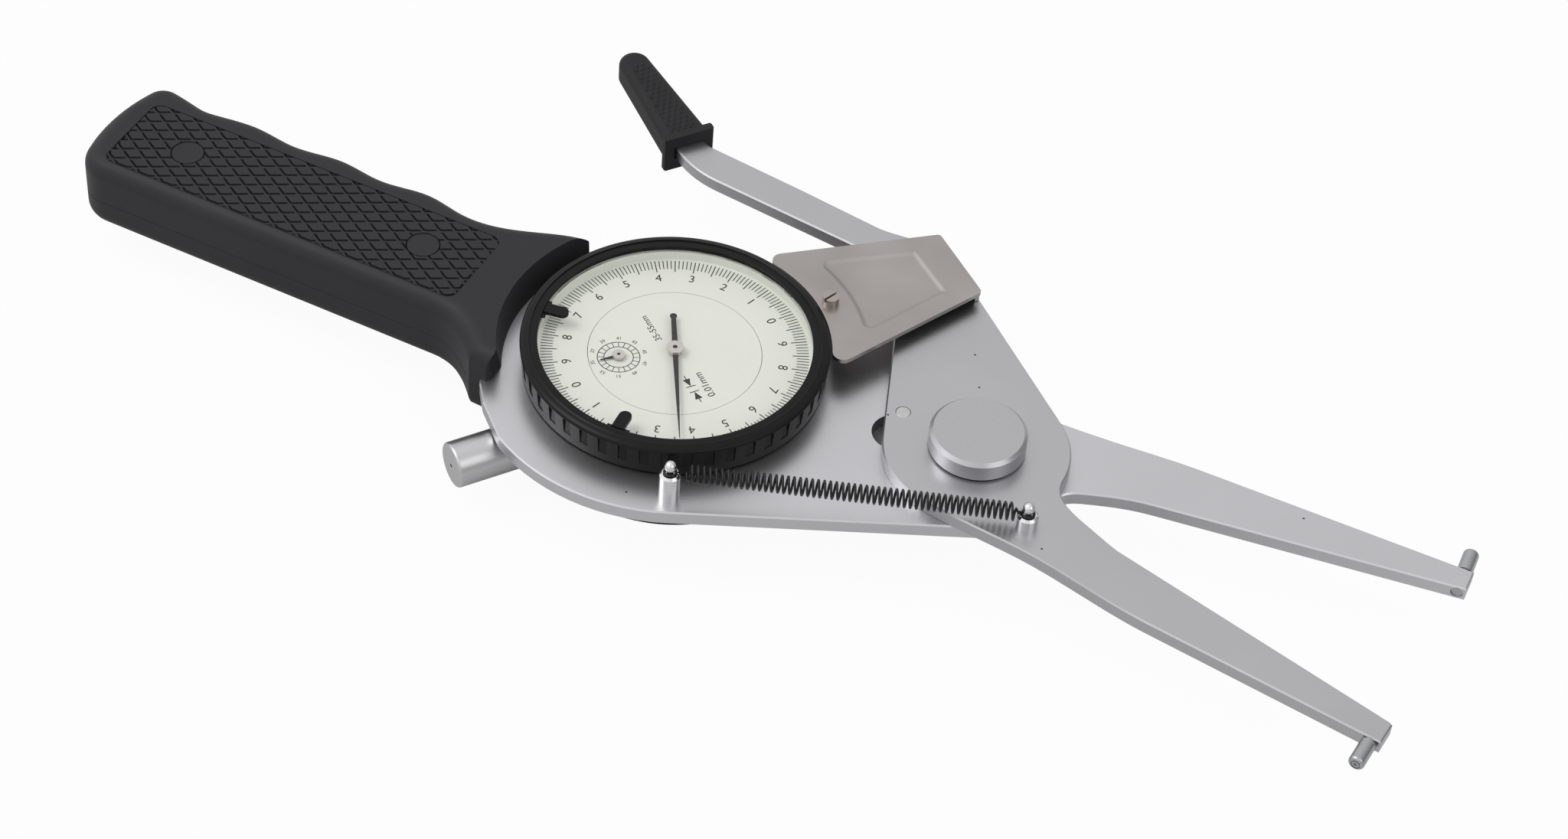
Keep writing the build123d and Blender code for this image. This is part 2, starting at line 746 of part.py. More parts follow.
with BuildSketch(Plane.XY) as plate_pocket:
    add(base_outline.sketch.moved(Location((0, 0, -plate_under))))
    offset(amount=fit_gap)

# Everything past the ends of the two arms of the fork is cut away
with BuildSketch(handle_plane) as fork_cut:
    Circle(yoke_radius)
    with BuildLine():
        Polyline((-24.4, 13.4), (-5, 10), (-5, 30), (-27.4, 30), (-26.8, 16.8))
        ThreePointArc((-26.8, 16.8), (-25.0, 15.4), (-24.4, 13.4))
    make_face()
    with BuildLine():
        Polyline((-27.1, -20.1), (-27.1, -40), (-5, -40), (-5, -14.5), (-25.4, -14.5), (-25.1, -17.6))
        ThreePointArc((-25.1, -17.6), (-25.6, -19.1), (-27.1, -20.1))
    make_face()

with BuildSketch(handle_plane) as pad_outline:
    with Locations(((pad_left + pad_right) / 2, (pad_front + pad_back) / 2)):
        RectangleRounded(pad_right - pad_left, pad_back - pad_front, pad_corner)

with BuildPart() as handle_front:
    extrude(handle_outline.sketch.moved(Location((0, 0, plate_under - handle_bottom))),
            amount=handle_top - plate_under)
    top_rim = handle_front.faces().sort_by(Axis.Z)[-1].edges().sort_by(Axis.X)[:-1]
    fillet(top_rim, handle_round)
    chamfer(handle_front.faces().sort_by(Axis.Z)[0].edges(), handle_parting)
    extrude(fork_cut.sketch.moved(Location((0, 0, plate_under))), amount=handle_top, mode=Mode.SUBTRACT)
    extrude(plate_pocket.sketch.moved(Location((0, 0, plate_under))), amount=plate_thickness,
            mode=Mode.SUBTRACT)
    with Locations((0, 0, plate_top)):
        Cone(yoke_radius, yoke_radius + yoke_flare, handle_top - plate_top,
             align=(Align.CENTER, Align.CENTER, Align.MIN), mode=Mode.SUBTRACT)
    extrude(pad_outline.sketch.moved(Location((0, 0, handle_top - pad_depth))), amount=handle_half_height,
            mode=Mode.SUBTRACT)
    with BuildSketch(handle_plane.offset(screw_head_level)):
        with Locations(*plug_places):
            Circle(plug_radius + fit_gap)
    extrude(amount=handle_top, mode=Mode.SUBTRACT)
    with BuildSketch(handle_plane.offset(plate_under)):
        with Locations(*plug_places):
            Circle(handle_screw_radius + fit_gap)
    extrude(amount=handle_top, mode=Mode.SUBTRACT)
save(handle_front.part, "handle_front")

with BuildPart() as handle_rear:
    extrude(handle_outline.sketch, amount=plate_under - handle_bottom)
    bottom_rim = handle_rear.faces().sort_by(Axis.Z)[0].edges().sort_by(Axis.X)[:-1]
    fillet(bottom_rim, handle_round)
    chamfer(handle_rear.faces().sort_by(Axis.Z)[-1].edges(), handle_parting)
    extrude(fork_cut.sketch, amount=plate_under, mode=Mode.SUBTRACT)
    extrude(pad_outline.sketch, amount=handle_bottom + pad_depth, mode=Mode.SUBTRACT)
    with BuildSketch(handle_plane.offset(handle_bottom + 2.0)):
        with Locations(*plug_places):
            Circle(handle_screw_radius + seat_gap)
    extrude(amount=plate_under, mode=Mode.SUBTRACT)
save(handle_rear.part, "handle_rear")

with BuildPart() as handle_screws:
    with BuildSketch(handle_plane.offset(handle_bottom + 2.1)):
        with Locations(*plug_places):
            Circle(handle_screw_radius)
    extrude(amount=screw_head_level - handle_bottom - 2.1)
    with BuildSketch(handle_plane.offset(screw_head_level)):
        with Locations(*plug_places):
            Circle(handle_screw_head)
    extrude(amount=1.5)
save(handle_screws.part, "handle_screws")

with BuildPart() as handle_plugs:
    with BuildSketch(handle_plane.offset(screw_head_level + 1.6)):
        with Locations(*plug_places):
            Circle(plug_radius)
    extrude(amount=handle_top - screw_head_level - 1.7)
save(handle_plugs.part, "handle_plugs")

# Case of the dial, a moulded cup whose collar comes up through the base plate
ledge_height = 1.2
with BuildPart() as case:
    with BuildSketch(upright(0, 0)):
        with BuildLine():
            Polyline(
                (rear_cover_radius + fit_gap, 0),
                (case_radius - 0.5, 0),
                (case_radius, 0.5),
                (case_radius, plate_under),
                (collar_radius, plate_under),
                (collar_radius, flange_top + fit_gap),
                (collar_radius - 0.4, flange_top + fit_gap),
                (collar_radius - 0.4, collar_top - fit_gap),
                (collar_radius - 0.4, collar_top),
                (case_bore, collar_top),
                (case_bore, lower_plate_under),
                (case_bore - 1.3, lower_plate_under),
                (case_bore - 1.3, lower_plate_under - ledge_height),
                (case_bore, lower_plate_under - ledge_height),
                (case_bore, rear_cover_thickness),
                (rear_cover_radius + fit_gap, rear_cover_thickness),
                close=True,
            )
        make_face()
    revolve(axis=plumb(0, 0))
    with BuildSketch(spindle_plane):
        Circle(stem_radius + seat_gap)
    extrude(amount=2 * case_radius, both=True, mode=Mode.SUBTRACT)
save(case.part, "case")

cover_screw_turns = [70, 160, 250, 340]
rear_screw_ring = 18.0
rear_screw_radius = 1.0
rear_screw_head = 1.7
rear_screw_sunk = 0.1
rear_screw_seat = 0.7
with BuildPart() as rear_cover:
    with BuildSketch():
        Circle(rear_cover_radius)
        with PolarLocations(rear_screw_ring, len(cover_screw_turns), start_angle=cover_screw_turns[0]):
            Circle(rear_screw_radius + seat_gap, mode=Mode.SUBTRACT)
    extrude(amount=rear_cover_thickness)
    with BuildSketch():
        with PolarLocations(rear_screw_ring, len(cover_screw_turns), start_angle=cover_screw_turns[0]):
            Circle(rear_screw_head + fit_gap)
    extrude(amount=rear_screw_seat, mode=Mode.SUBTRACT)
    with BuildSketch(Plane.XY.offset(rear_cover_thickness)):
        Circle(case_bore - 0.2)
        Circle(case_bore - 1.2, mode=Mode.SUBTRACT)
    extrude(amount=1.0)
save(rear_cover.part, "rear_cover")

# Four long screws through the rear cover into the lower plate of the movement
with BuildPart() as rear_screws:
    with BuildSketch(Plane.XY.offset(rear_screw_sunk)):
        with PolarLocations(rear_screw_ring, len(cover_screw_turns), start_angle=cover_screw_turns[0]):
            Circle(rear_screw_head)
    extrude(amount=rear_screw_seat - rear_screw_sunk)
    with BuildSketch(Plane.XY.offset(rear_screw_seat)):
        with PolarLocations(rear_screw_ring, len(cover_screw_turns), start_angle=cover_screw_turns[0]):
            Circle(rear_screw_radius)
    extrude(amount=lower_plate_under - rear_screw_seat)
save(rear_screws.part, "rear_screws")

# Ring nut that clamps the case to the base plate, hidden inside the bezel's skirt
with BuildPart() as ring_nut:
    with BuildSketch(Plane.XY.offset(plate_top)):
        Circle(ring_nut_radius)
        Circle(collar_radius + fit_gap, mode=Mode.SUBTRACT)
    extrude(amount=flange_bottom - plate_top - fit_gap)
save(ring_nut.part, "ring_nut")

with BuildPart() as bezel_clip:
    with BuildSketch(Plane.XY.offset(flange_top + fit_gap)):
        Circle(collar_radius + 0.5)
        Circle(collar_radius - 0.4 + seat_gap, mode=Mode.SUBTRACT)
        with Locations((0, collar_radius)):
            Rectangle(2.0, 4.0, mode=Mode.SUBTRACT)
    extrude(amount=0.3)
save(bezel_clip.part, "bezel_clip")

# Bezel: turns on the collar and carries the scale ring, the crystal and the markers
with BuildPart() as bezel_ring:
    with BuildSketch(upright(0, 0)):
        with BuildLine():
            Polyline(
                (bezel_rim_radius - 0.9, bezel_top),
                (lip_radius, bezel_top),
                (lip_radius, bezel_top - lip_thickness),
                (bezel_wall_radius, bezel_top - lip_thickness),
                (bezel_wall_radius, flange_top),
                (collar_radius + fit_gap, flange_top),
                (collar_radius + fit_gap, flange_bottom),
                (ring_nut_radius + 0.2, flange_bottom),
                (ring_nut_radius + 0.2, bezel_bottom),
                (bezel_foot_radius, bezel_bottom),
                (bezel_rim_radius, bezel_top - 0.9),
            )
            RadiusArc((bezel_rim_radius, bezel_top - 0.9), (bezel_rim_radius - 0.9, bezel_top), -0.9)
        make_face()
    revolve(axis=plumb(0, 0))
    with BuildSketch(Plane.XY.offset(grip_recess_bottom)):
        with PolarLocations(grip_recess_floor + 0.5, grip_recesses, start_angle=grip_recess_turn):
            Rectangle(1.0, grip_recess_width)
    extrude(amount=grip_recess_top - grip_recess_bottom, mode=Mode.SUBTRACT)
save(bezel_ring.part, "bezel_ring")

with BuildPart() as scale_ring:
    with BuildSketch(Plane.XY.offset(dial_top - dial_thickness)):
        Circle(bezel_wall_radius - seat_gap)
        Circle(dial_split_radius + scale_gap, mode=Mode.SUBTRACT)
    extrude(amount=dial_thickness)
    with BuildSketch(Plane.XY.offset(dial_top)):
        Circle(bezel_wall_radius - seat_gap)
        Circle(lip_radius, mode=Mode.SUBTRACT)
    extrude(amount=crystal_bottom - dial_top)
save(scale_ring.part, "scale_ring")

with BuildPart() as crystal:
    with BuildSketch(Plane.XY.offset(crystal_bottom)):
        Circle(bezel_wall_radius - seat_gap)
    extrude(amount=crystal_thickness)
save(crystal.part, "crystal")

# Two tolerance markers, each a tab on a short shoe that slides in the bezel under its lip
shoe_bottom = crystal_bottom + crystal_thickness + fit_gap
shoe_top = bezel_top - lip_thickness - fit_gap
for name, turn in zip(("tolerance_marker_a", "tolerance_marker_b"), marker_turns):
    marker_plane = Plane.XY.rotated((0, 0, turn))
    with BuildPart() as marker:
        with BuildSketch(marker_plane.offset(shoe_bottom)):
            with Locations(((lip_radius + marker_reach) / 2 - 0.1, 0)):
                SlotOverall(lip_radius - marker_reach - 0.1, marker_width)
            with Locations((lip_radius - 0.9, 0)):
                Rectangle(1.5, marker_width)
        extrude(amount=bezel_top - 0.15 - shoe_bottom)
        with BuildSketch(marker_plane.offset(shoe_bottom)):
            with BuildLine():
                shoe_turn = 5
                outer = bezel_wall_radius - fit_gap
                inner = lip_radius - 0.6
                CenterArc((0, 0), outer, -shoe_turn, 2 * shoe_turn)
                Line(polar(outer, shoe_turn), polar(inner, shoe_turn))
                CenterArc((0, 0), inner, -shoe_turn, 2 * shoe_turn)
                Line(polar(inner, -shoe_turn), polar(outer, -shoe_turn))
            make_face()
        extrude(amount=shoe_top - shoe_bottom)
    save(marker.part, name)

# Inner dial, fixed to the movement, with the hole for the counter's arbor
with BuildPart() as inner_dial:
    with BuildSketch(Plane.XY.offset(dial_top - dial_thickness)):
        Circle(dial_split_radius)
        Circle(0.8, mode=Mode.SUBTRACT)
        with Locations((counter_x, counter_y)):
            Circle(0.7, mode=Mode.SUBTRACT)
    extrude(amount=dial_thickness)
save(inner_dial.part, "inner_dial")

# Movement plates, pillars and screws
arbor_radius = 0.45
arbor_places = [(0, 0), (wheel_x, wheel_y), (counter_x, counter_y)]
upper_plate_top = upper_plate_under + movement_plate_thickness
pillar_places = [polar(pillar_ring, turn) for turn in pillar_turns]
with BuildPart() as movement_plate_lower:
    with BuildSketch(Plane.XY.offset(lower_plate_under)):
        Circle(movement_radius)
        with Locations(*arbor_places):
            Circle(arbor_radius + fit_gap, mode=Mode.SUBTRACT)
    extrude(amount=movement_plate_thickness)
save(movement_plate_lower.part, "movement_plate_lower")

with BuildPart() as movement_plate_upper:
    with BuildSketch(Plane.XY.offset(upper_plate_under)):
        Circle(movement_radius - 1.6)
        with Locations(*arbor_places):
            Circle(arbor_radius + fit_gap, mode=Mode.SUBTRACT)
    extrude(amount=movement_plate_thickness)
save(movement_plate_upper.part, "movement_plate_upper")

with BuildPart() as movement_pillars:
    with BuildSketch(Plane.XY.offset(lower_plate_under + movement_plate_thickness)):
        with Locations(*pillar_places):
            Circle(pillar_radius)
    extrude(amount=upper_plate_under - lower_plate_under - movement_plate_thickness)
save(movement_pillars.part, "movement_pillars")

with BuildPart() as dial_feet:
    with BuildSketch(Plane.XY.offset(upper_plate_top)):
        with PolarLocations(11.5, 3, start_angle=75):
            Circle(0.8)
    extrude(amount=dial_top - dial_thickness - upper_plate_top)
save(dial_feet.part, "dial_feet")


def gear_face(teeth, pitch_radius, phase, out=tooth_depth_out, into=tooth_depth_in):
    """Outline of a gear: each tooth is a trapezium from the root circle to the tip circle."""
    step = 360 / teeth
    points = []
    for tooth in range(teeth):
        middle = phase + tooth * step
        points.append(polar(pitch_radius - into, middle - 0.30 * step))
        points.append(polar(pitch_radius + out, middle - 0.11 * step))
        points.append(polar(pitch_radius + out, middle + 0.11 * step))
        points.append(polar(pitch_radius - into, middle + 0.30 * step))
    Polygon(*points, align=None)


# First arbor: the rack's pinion below, the large wheel between the plates
bridge_under = 3.4
bridge_thickness = 1.0
with BuildPart() as rack_wheel:
    with BuildSketch(Plane.XY.offset(wheel_level)):
        with Locations((wheel_x, wheel_y)):
            gear_face(wheel_teeth, wheel_pitch_radius, train_turn + 180)
    extrude(amount=wheel_thickness)
    with BuildSketch(Plane.XY.offset(spindle_level - 1.2)):
        with Locations((wheel_x, wheel_y)):
            gear_face(rack_pinion_teeth, rack_pitch_radius, spindle_turn + 90, 0.14, 0.2)
    extrude(amount=2.2)
    with BuildSketch(Plane.XY.offset(bridge_under)):
        with Locations((wheel_x, wheel_y)):
            Circle(arbor_radius)
    extrude(amount=upper_plate_top - bridge_under)
save(rack_wheel.part, "rack_wheel")

# Centre arbor with its pinion, up through the dial to the pointer
pointer_level = 19.25
with BuildPart() as centre_arbor:
    with BuildSketch(Plane.XY.offset(wheel_level - 0.4)):
        gear_face(pinion_teeth, pinion_pitch_radius, train_turn + 180 / pinion_teeth)
    extrude(amount=wheel_thickness + 0.8)
    with BuildSketch(Plane.XY.offset(lower_plate_under)):
        Circle(arbor_radius)
    extrude(amount=pointer_level - lower_plate_under)
save(centre_arbor.part, "centre_arbor")

# Counter arbor with the take-up wheel
counter_hand_level = 18.55
with BuildPart() as counter_wheel:
    with BuildSketch(Plane.XY.offset(wheel_level)):
        with Locations((counter_x, counter_y)):
            gear_face(wheel_teeth, wheel_pitch_radius, train_turn)
    extrude(amount=wheel_thickness)
    with BuildSketch(Plane.XY.offset(lower_plate_under)):
        with Locations((counter_x, counter_y)):
            Circle(arbor_radius)
    extrude(amount=counter_hand_level - lower_plate_under)
save(counter_wheel.part, "counter_wheel")

# Hairspring on the counter arbor, a flat spiral of half circles that takes up the backlash
spiral_step = 0.5
spiral_turns = 8
with BuildPart() as hairspring:
    with BuildSketch(Plane.XY.offset(wheel_level + 1.4)):
        with Locations((counter_x, counter_y)):
            Circle(0.9)
            Circle(arbor_radius + seat_gap, mode=Mode.SUBTRACT)
        with BuildLine(mode=Mode.PRIVATE) as spiral:
            for half in range(spiral_turns):
                radius = 0.9 + half * spiral_step / 2
                shift = 0 if half % 2 == 0 else -spiral_step / 2
                CenterArc((counter_x + shift, counter_y), radius, 180 * (half % 2), 180)
        trace(spiral.line, 0.14)
    extrude(amount=0.35)
save(hairspring.part, "hairspring")

# Bridge behind the spindle for the first arbor, hung from the lower plate on two posts
with BuildPart() as rack_bridge:
    with BuildSketch(Plane.XY.offset(bridge_under)):
        with Locations((wheel_x, wheel_y)):
            SlotOverall(12.0, 3.6, rotation=spindle_turn)
            Circle(arbor_radius + fit_gap, mode=Mode.SUBTRACT)
    extrude(amount=bridge_thickness)
    with BuildSketch(Plane.XY.offset(bridge_under + bridge_thickness)):
        with Locations(Location((wheel_x, wheel_y, 0), (0, 0, spindle_turn))):
            with Locations((-4.4, -0.7), (4.4, -0.7)):
                Circle(1.0)
    extrude(amount=lower_plate_under - bridge_under - bridge_thickness)
save(rack_bridge.part, "rack_bridge")

# Spindle: rod with the rack cut in its side, pushed by the drive pin through its foot
foot_face = drive_pin_reach - drive_pin_radius - foot_gap
spindle_back_room = 9.5
spindle_tail = spindle_back_room - rear_stem_reach
rack_middle = train_distance * math.cos(math.radians(spindle_turn - train_turn))
rack_offset = train_distance * math.sin(math.radians(spindle_turn - train_turn))
rack_line = rack_offset - rack_pitch_radius
rack_plane = Plane(
    origin=(0, 0, spindle_level - spindle_radius),
    x_dir=(*polar(1, spindle_turn), 0),
    z_dir=(0, 0, 1),
)
with BuildPart() as spindle:
    with BuildSketch(spindle_plane.offset(spindle_tail)):
        Circle(spindle_radius)
    extrude(amount=foot_face - foot_thickness - spindle_tail)
    with BuildSketch(rack_plane):
        rack_start = rack_middle - 2.5 * rack_pitch
        for tooth in range(rack_teeth):
            gap = rack_start + (tooth + 0.5) * rack_pitch
            with BuildLine():
                Polyline(
                    (gap - 0.16 * rack_pitch, -rack_line + 0.2),
                    (gap + 0.16 * rack_pitch, -rack_line + 0.2),
                    (gap + 0.40 * rack_pitch, -rack_line - 0.14),
                    (gap - 0.40 * rack_pitch, -rack_line - 0.14),
                    close=True,
                )
            make_face()
        with Locations((rack_start + rack_teeth * rack_pitch / 2, -rack_line - 0.14 - spindle_radius)):
            Rectangle((rack_teeth + 1) * rack_pitch, 2 * spindle_radius)
    extrude(amount=2 * spindle_radius, mode=Mode.SUBTRACT)
save(spindle.part, "spindle")

with BuildPart() as spindle_foot:
    with BuildSketch(spindle_plane.offset(foot_face - foot_thickness)):
        Circle(foot_radius)
    extrude(amount=foot_thickness)
    chamfer(spindle_foot.faces().filter_by(GeomType.PLANE).edges(), 0.2)
save(spindle_foot.part, "spindle_foot")

# Stem bush on the pin side and closed barrel on the far side guide the spindle
with BuildPart() as stem_bush:
    with BuildSketch(spindle_plane.offset(case_bore + 0.1)):
        Circle(stem_radius)
        Circle(spindle_radius + fit_gap, mode=Mode.SUBTRACT)
    extrude(amount=stem_reach - case_bore - 0.1)
save(stem_bush.part, "stem_bush")

barrel_plane = Plane(
    origin=(0, 0, spindle_level),
    x_dir=(0, 0, 1),
    z_dir=(*polar(1, spindle_turn + 180), 0),
)
with BuildPart() as rear_stem:
    with BuildSketch(barrel_plane.offset(case_bore + 0.1)):
        Circle(stem_radius)
    extrude(amount=barrel_start - case_bore - 0.1)
    with BuildSketch(barrel_plane.offset(barrel_start)):
        Circle(rear_stem_radius)
    extrude(amount=rear_stem_reach - barrel_start)
    with BuildSketch(barrel_plane.offset(case_bore)):
        Circle(spindle_radius + fit_gap)
    extrude(amount=2 * barrel_reach, mode=Mode.SUBTRACT)
save(rear_stem.part, "rear_stem")

# Barrel: a closed cap screwed over the rear stem, with a small centre hole in its end
with BuildPart() as barrel:
    with BuildSketch(barrel_plane.offset(barrel_start + seat_gap)):
        Circle(stem_radius)
    extrude(amount=barrel_reach - barrel_start - seat_gap)
    end_rim = barrel.faces().filter_by(GeomType.PLANE).sort_by_distance((0, 0, spindle_level))[-1].edges()
    fillet(end_rim, 0.5)
    with BuildSketch(barrel_plane.offset(barrel_start)):
        Circle(rear_stem_radius + seat_gap)
    extrude(amount=barrel_reach - barrel_end_wall - barrel_start, mode=Mode.SUBTRACT)
    with BuildSketch(barrel_plane.offset(barrel_reach - 1.0)):
        Circle(0.35)
    extrude(amount=1.2, mode=Mode.SUBTRACT)
save(barrel.part, "barrel")

# Return spring between the stem bush and the foot
with BuildPart() as return_spring:
    with BuildSketch(spindle_plane.offset(stem_reach + seat_gap)):
        Circle(2.9)
        Circle(spindle_radius + 0.3, mode=Mode.SUBTRACT)
    extrude(amount=foot_face - foot_thickness - stem_reach - 2 * seat_gap)
save(return_spring.part, "return_spring")

# Pointer: thin steel blade with a bead on its tail, and a turned hub pressed on the arbor
pointer_turn = 291.0
pointer_reach = 21.3
pointer_plane = Plane.XY.rotated((0, 0, pointer_turn))
with BuildPart() as main_pointer:
    with BuildSketch(pointer_plane.offset(pointer_level)):
        Polygon((pointer_reach, 0.06), (pointer_reach, -0.06), (12.0, -0.28), (0, -0.5), (-7.6, -0.42),
                (-7.6, 0.42), (0, 0.5), (12.0, 0.28), align=None)
        with Locations((-7.9, 0)):
            Circle(0.62)
    extrude(amount=0.15)
save(main_pointer.part, "main_pointer")

with BuildPart() as pointer_hub:
    with BuildSketch(Plane.XY.offset(pointer_level + 0.15)):
        Circle(1.5)
    extrude(amount=0.3)
    with BuildSketch(Plane.XY.offset(dial_top + 0.25)):
        Circle(1.15)
        Circle(arbor_radius + seat_gap, mode=Mode.SUBTRACT)
    extrude(amount=pointer_level - dial_top - 0.25)
save(pointer_hub.part, "pointer_hub")

small_plane = Plane(origin=(counter_x, counter_y, 0), x_dir=(*polar(1, 218.0), 0), z_dir=(0, 0, 1))
with BuildPart() as small_pointer:
    with BuildSketch(small_plane.offset(counter_hand_level)):
        Polygon((3.3, 0.05), (3.3, -0.05), (0, -0.35), (0, 0.35), align=None)
        Circle(0.9)
    extrude(amount=0.15)
    with BuildSketch(small_plane.offset(counter_hand_level + 0.15)):
        Circle(1.1)
    extrude(amount=0.4)
save(small_pointer.part, "small_pointer")
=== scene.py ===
import math
import bmesh
import bpy
import numpy as np
from mathutils import Matrix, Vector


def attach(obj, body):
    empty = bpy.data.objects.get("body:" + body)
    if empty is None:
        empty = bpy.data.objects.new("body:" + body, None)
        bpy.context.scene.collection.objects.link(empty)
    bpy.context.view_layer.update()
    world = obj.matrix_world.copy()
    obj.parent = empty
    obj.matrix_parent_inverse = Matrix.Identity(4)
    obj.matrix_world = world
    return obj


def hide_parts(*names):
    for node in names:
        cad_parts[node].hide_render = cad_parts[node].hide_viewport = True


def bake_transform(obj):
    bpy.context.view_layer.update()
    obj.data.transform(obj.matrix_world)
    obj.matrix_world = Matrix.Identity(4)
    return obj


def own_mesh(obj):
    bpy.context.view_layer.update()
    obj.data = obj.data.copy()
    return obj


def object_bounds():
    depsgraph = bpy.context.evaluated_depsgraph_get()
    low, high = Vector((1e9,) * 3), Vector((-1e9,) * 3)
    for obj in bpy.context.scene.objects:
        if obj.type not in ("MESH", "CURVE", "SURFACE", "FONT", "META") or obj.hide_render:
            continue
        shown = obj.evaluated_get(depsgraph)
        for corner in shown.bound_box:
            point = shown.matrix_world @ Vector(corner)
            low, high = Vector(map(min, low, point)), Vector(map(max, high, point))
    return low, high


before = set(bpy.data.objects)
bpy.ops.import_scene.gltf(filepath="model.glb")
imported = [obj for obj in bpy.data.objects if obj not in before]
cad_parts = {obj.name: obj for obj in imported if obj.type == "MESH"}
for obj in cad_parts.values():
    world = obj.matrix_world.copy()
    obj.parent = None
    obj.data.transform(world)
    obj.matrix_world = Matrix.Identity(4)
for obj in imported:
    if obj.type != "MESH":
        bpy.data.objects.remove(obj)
cad_low, cad_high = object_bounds()


# Camera and studio. The photograph is taken from above and in front of the dial, with a long
# lens, on a white sweep under soft light. The floor keeps a faint shadow of the gauge.
photo_width = 2048
focal_pixels = 4773.46
sensor_width = 36.0
camera_place = (0.128702, -0.426581, 0.451993)
camera_right = (0.950621, 0.304470, 0.060152)
camera_up = (-0.256979, 0.663532, 0.702629)
camera_back = (0.174016, -0.683391, 0.709010)

lens = bpy.data.cameras.new("camera")
lens.sensor_width = sensor_width
lens.lens = focal_pixels / photo_width * sensor_width
lens.clip_start = 0.05
camera = bpy.data.objects.new("camera", lens)
camera.matrix_world = Matrix(
    [[*axes] for axes in zip(camera_right, camera_up, camera_back, camera_place)] + [[0, 0, 0, 1]]
)
bpy.context.scene.collection.objects.link(camera)
bpy.context.scene.camera = camera
bpy.context.scene.view_settings.view_transform = "Standard"


class Value:
    """One socket of a node tree. A sum, difference or product with it adds a Math node."""

    def __init__(self, nodes, socket):
        self.nodes, self.socket = nodes, socket

    def maths(self, operation, *values):
        return self.nodes.add("ShaderNodeMath", {"operation": operation}, dict(enumerate(values)))

    def __add__(self, other):
        return self.maths("ADD", self, other)

    def __sub__(self, other):
        return self.maths("SUBTRACT", self, other)

    def __rsub__(self, other):
        return self.maths("SUBTRACT", other, self)

    def __mul__(self, other):
        return self.maths("MULTIPLY", self, other)

    __radd__ = __add__
    __rmul__ = __mul__


class Nodes:
    """A node tree that is filled one node at a time."""

    def __init__(self, tree):
        self.tree = tree

    def fill(self, node, sockets):
        """Gives each socket its number or colour, or the link that feeds it."""
        for name, value in sockets.items():
            if isinstance(value, Value):
                self.tree.links.new(value.socket, node.inputs[name])
            else:
                node.inputs[name].default_value = value

    def add(self, kind, settings, sockets, out=0):
        """One new node of a type: its settings first, then its sockets. Gives the chosen output."""
        node = self.tree.nodes.new(kind)
        for name, value in settings.items():
            setattr(node, name, value)
        self.fill(node, sockets)
        return Value(self, node.outputs[out])

    def mix(self, share, first, second):
        """Colour between two colours."""
        pair = [c if isinstance(c, Value) else (*c, 1) for c in (first, second)]
        sockets = {0: share, 6: pair[0], 7: pair[1]}
        return self.add("ShaderNodeMix", {"data_type": "RGBA"}, sockets, 2)

    def rays(self):
        """1 for what the camera sees itself, what a glossy surface mirrors, and what shows
        through a clear one, and 0 for all else."""
        kinds = ("Is Camera Ray", "Is Glossy Ray", "Is Transmission Ray")
        return [self.add("ShaderNodeLightPath", {}, {}, kind) for kind in kinds]


# What is seen of the sky is white, its light on the gauge is softer, and what steel mirrors of it
# is brighter towards the side where the soft box stood
backdrop_white = 1.0
sky_light = 0.74
mirrored_sky = 0.62
soft_box_rise = 0.62
soft_box_way = (-0.60, -0.20, 0.77)
world = bpy.data.worlds.new("studio")
world.use_nodes = True
bpy.context.scene.world = world
air = Nodes(world.node_tree)
seen, glossy, through = air.rays()
white_seen = seen.maths("MAXIMUM", seen, through)
way = air.add("ShaderNodeTexCoord", {}, {}, "Generated")
towards = air.add(
    "ShaderNodeVectorMath", {"operation": "DOT_PRODUCT"}, {0: way, 1: soft_box_way}, "Value"
)
mirrored = towards * soft_box_rise + mirrored_sky
strength = white_seen * (backdrop_white - sky_light) + glossy * (mirrored - sky_light) + sky_light
air.fill(world.node_tree.nodes["Background"], {"Color": (1, 1, 1, 1), "Strength": strength})


def lamp(name, place, size, watts):
    """A square soft light at a place in metres that points at the middle of the gauge."""
    light = bpy.data.lights.new(name, "AREA")
    light.size, light.energy = size, watts
    made = bpy.data.objects.new(name, light)
    made.location = place
    aim = (cad_low + cad_high) / 2 - made.location
    made.rotation_euler = aim.to_track_quat("-Z", "Y").to_euler()
    bpy.context.scene.collection.objects.link(made)


lamp("key_light", place=(-0.60, -0.15, 0.90), size=0.5, watts=3.4)
lamp("fill_light", place=(0.75, -0.30, 0.60), size=0.6, watts=1.0)

floor_half, floor_level = 3.0, -0.0001
floor_grey = (0.68, 0.68, 0.68, 1)
glow_seen, glow_mirrored = 0.95, 0.08
floor_corners = [(-1, -1), (1, -1), (1, 1), (-1, 1)]
floor_mesh = bpy.data.meshes.new("floor")
floor_mesh.from_pydata(
    [(x * floor_half, y * floor_half, floor_level) for x, y in floor_corners], [], [(0, 1, 2, 3)]
)
floor = bpy.data.objects.new("floor", floor_mesh)
bpy.context.scene.collection.objects.link(floor)
sweep = bpy.data.materials.new("white_sweep")
sweep.use_nodes = True
floor_mesh.materials.append(sweep)
paper = Nodes(sweep.node_tree)
seen, glossy, through = paper.rays()
glow = paper.add("ShaderNodeEmission", {}, {"Color": (1, 1, 1, 1)})
matte = paper.add("ShaderNodeBsdfDiffuse", {}, {"Color": floor_grey})
share = seen * glow_seen + glossy * glow_mirrored + through * glow_seen
white_paper = paper.add("ShaderNodeMixShader", {}, {0: share, 1: matte, 2: glow})
paper.fill(sweep.node_tree.nodes["Material Output"], {"Surface": white_paper})


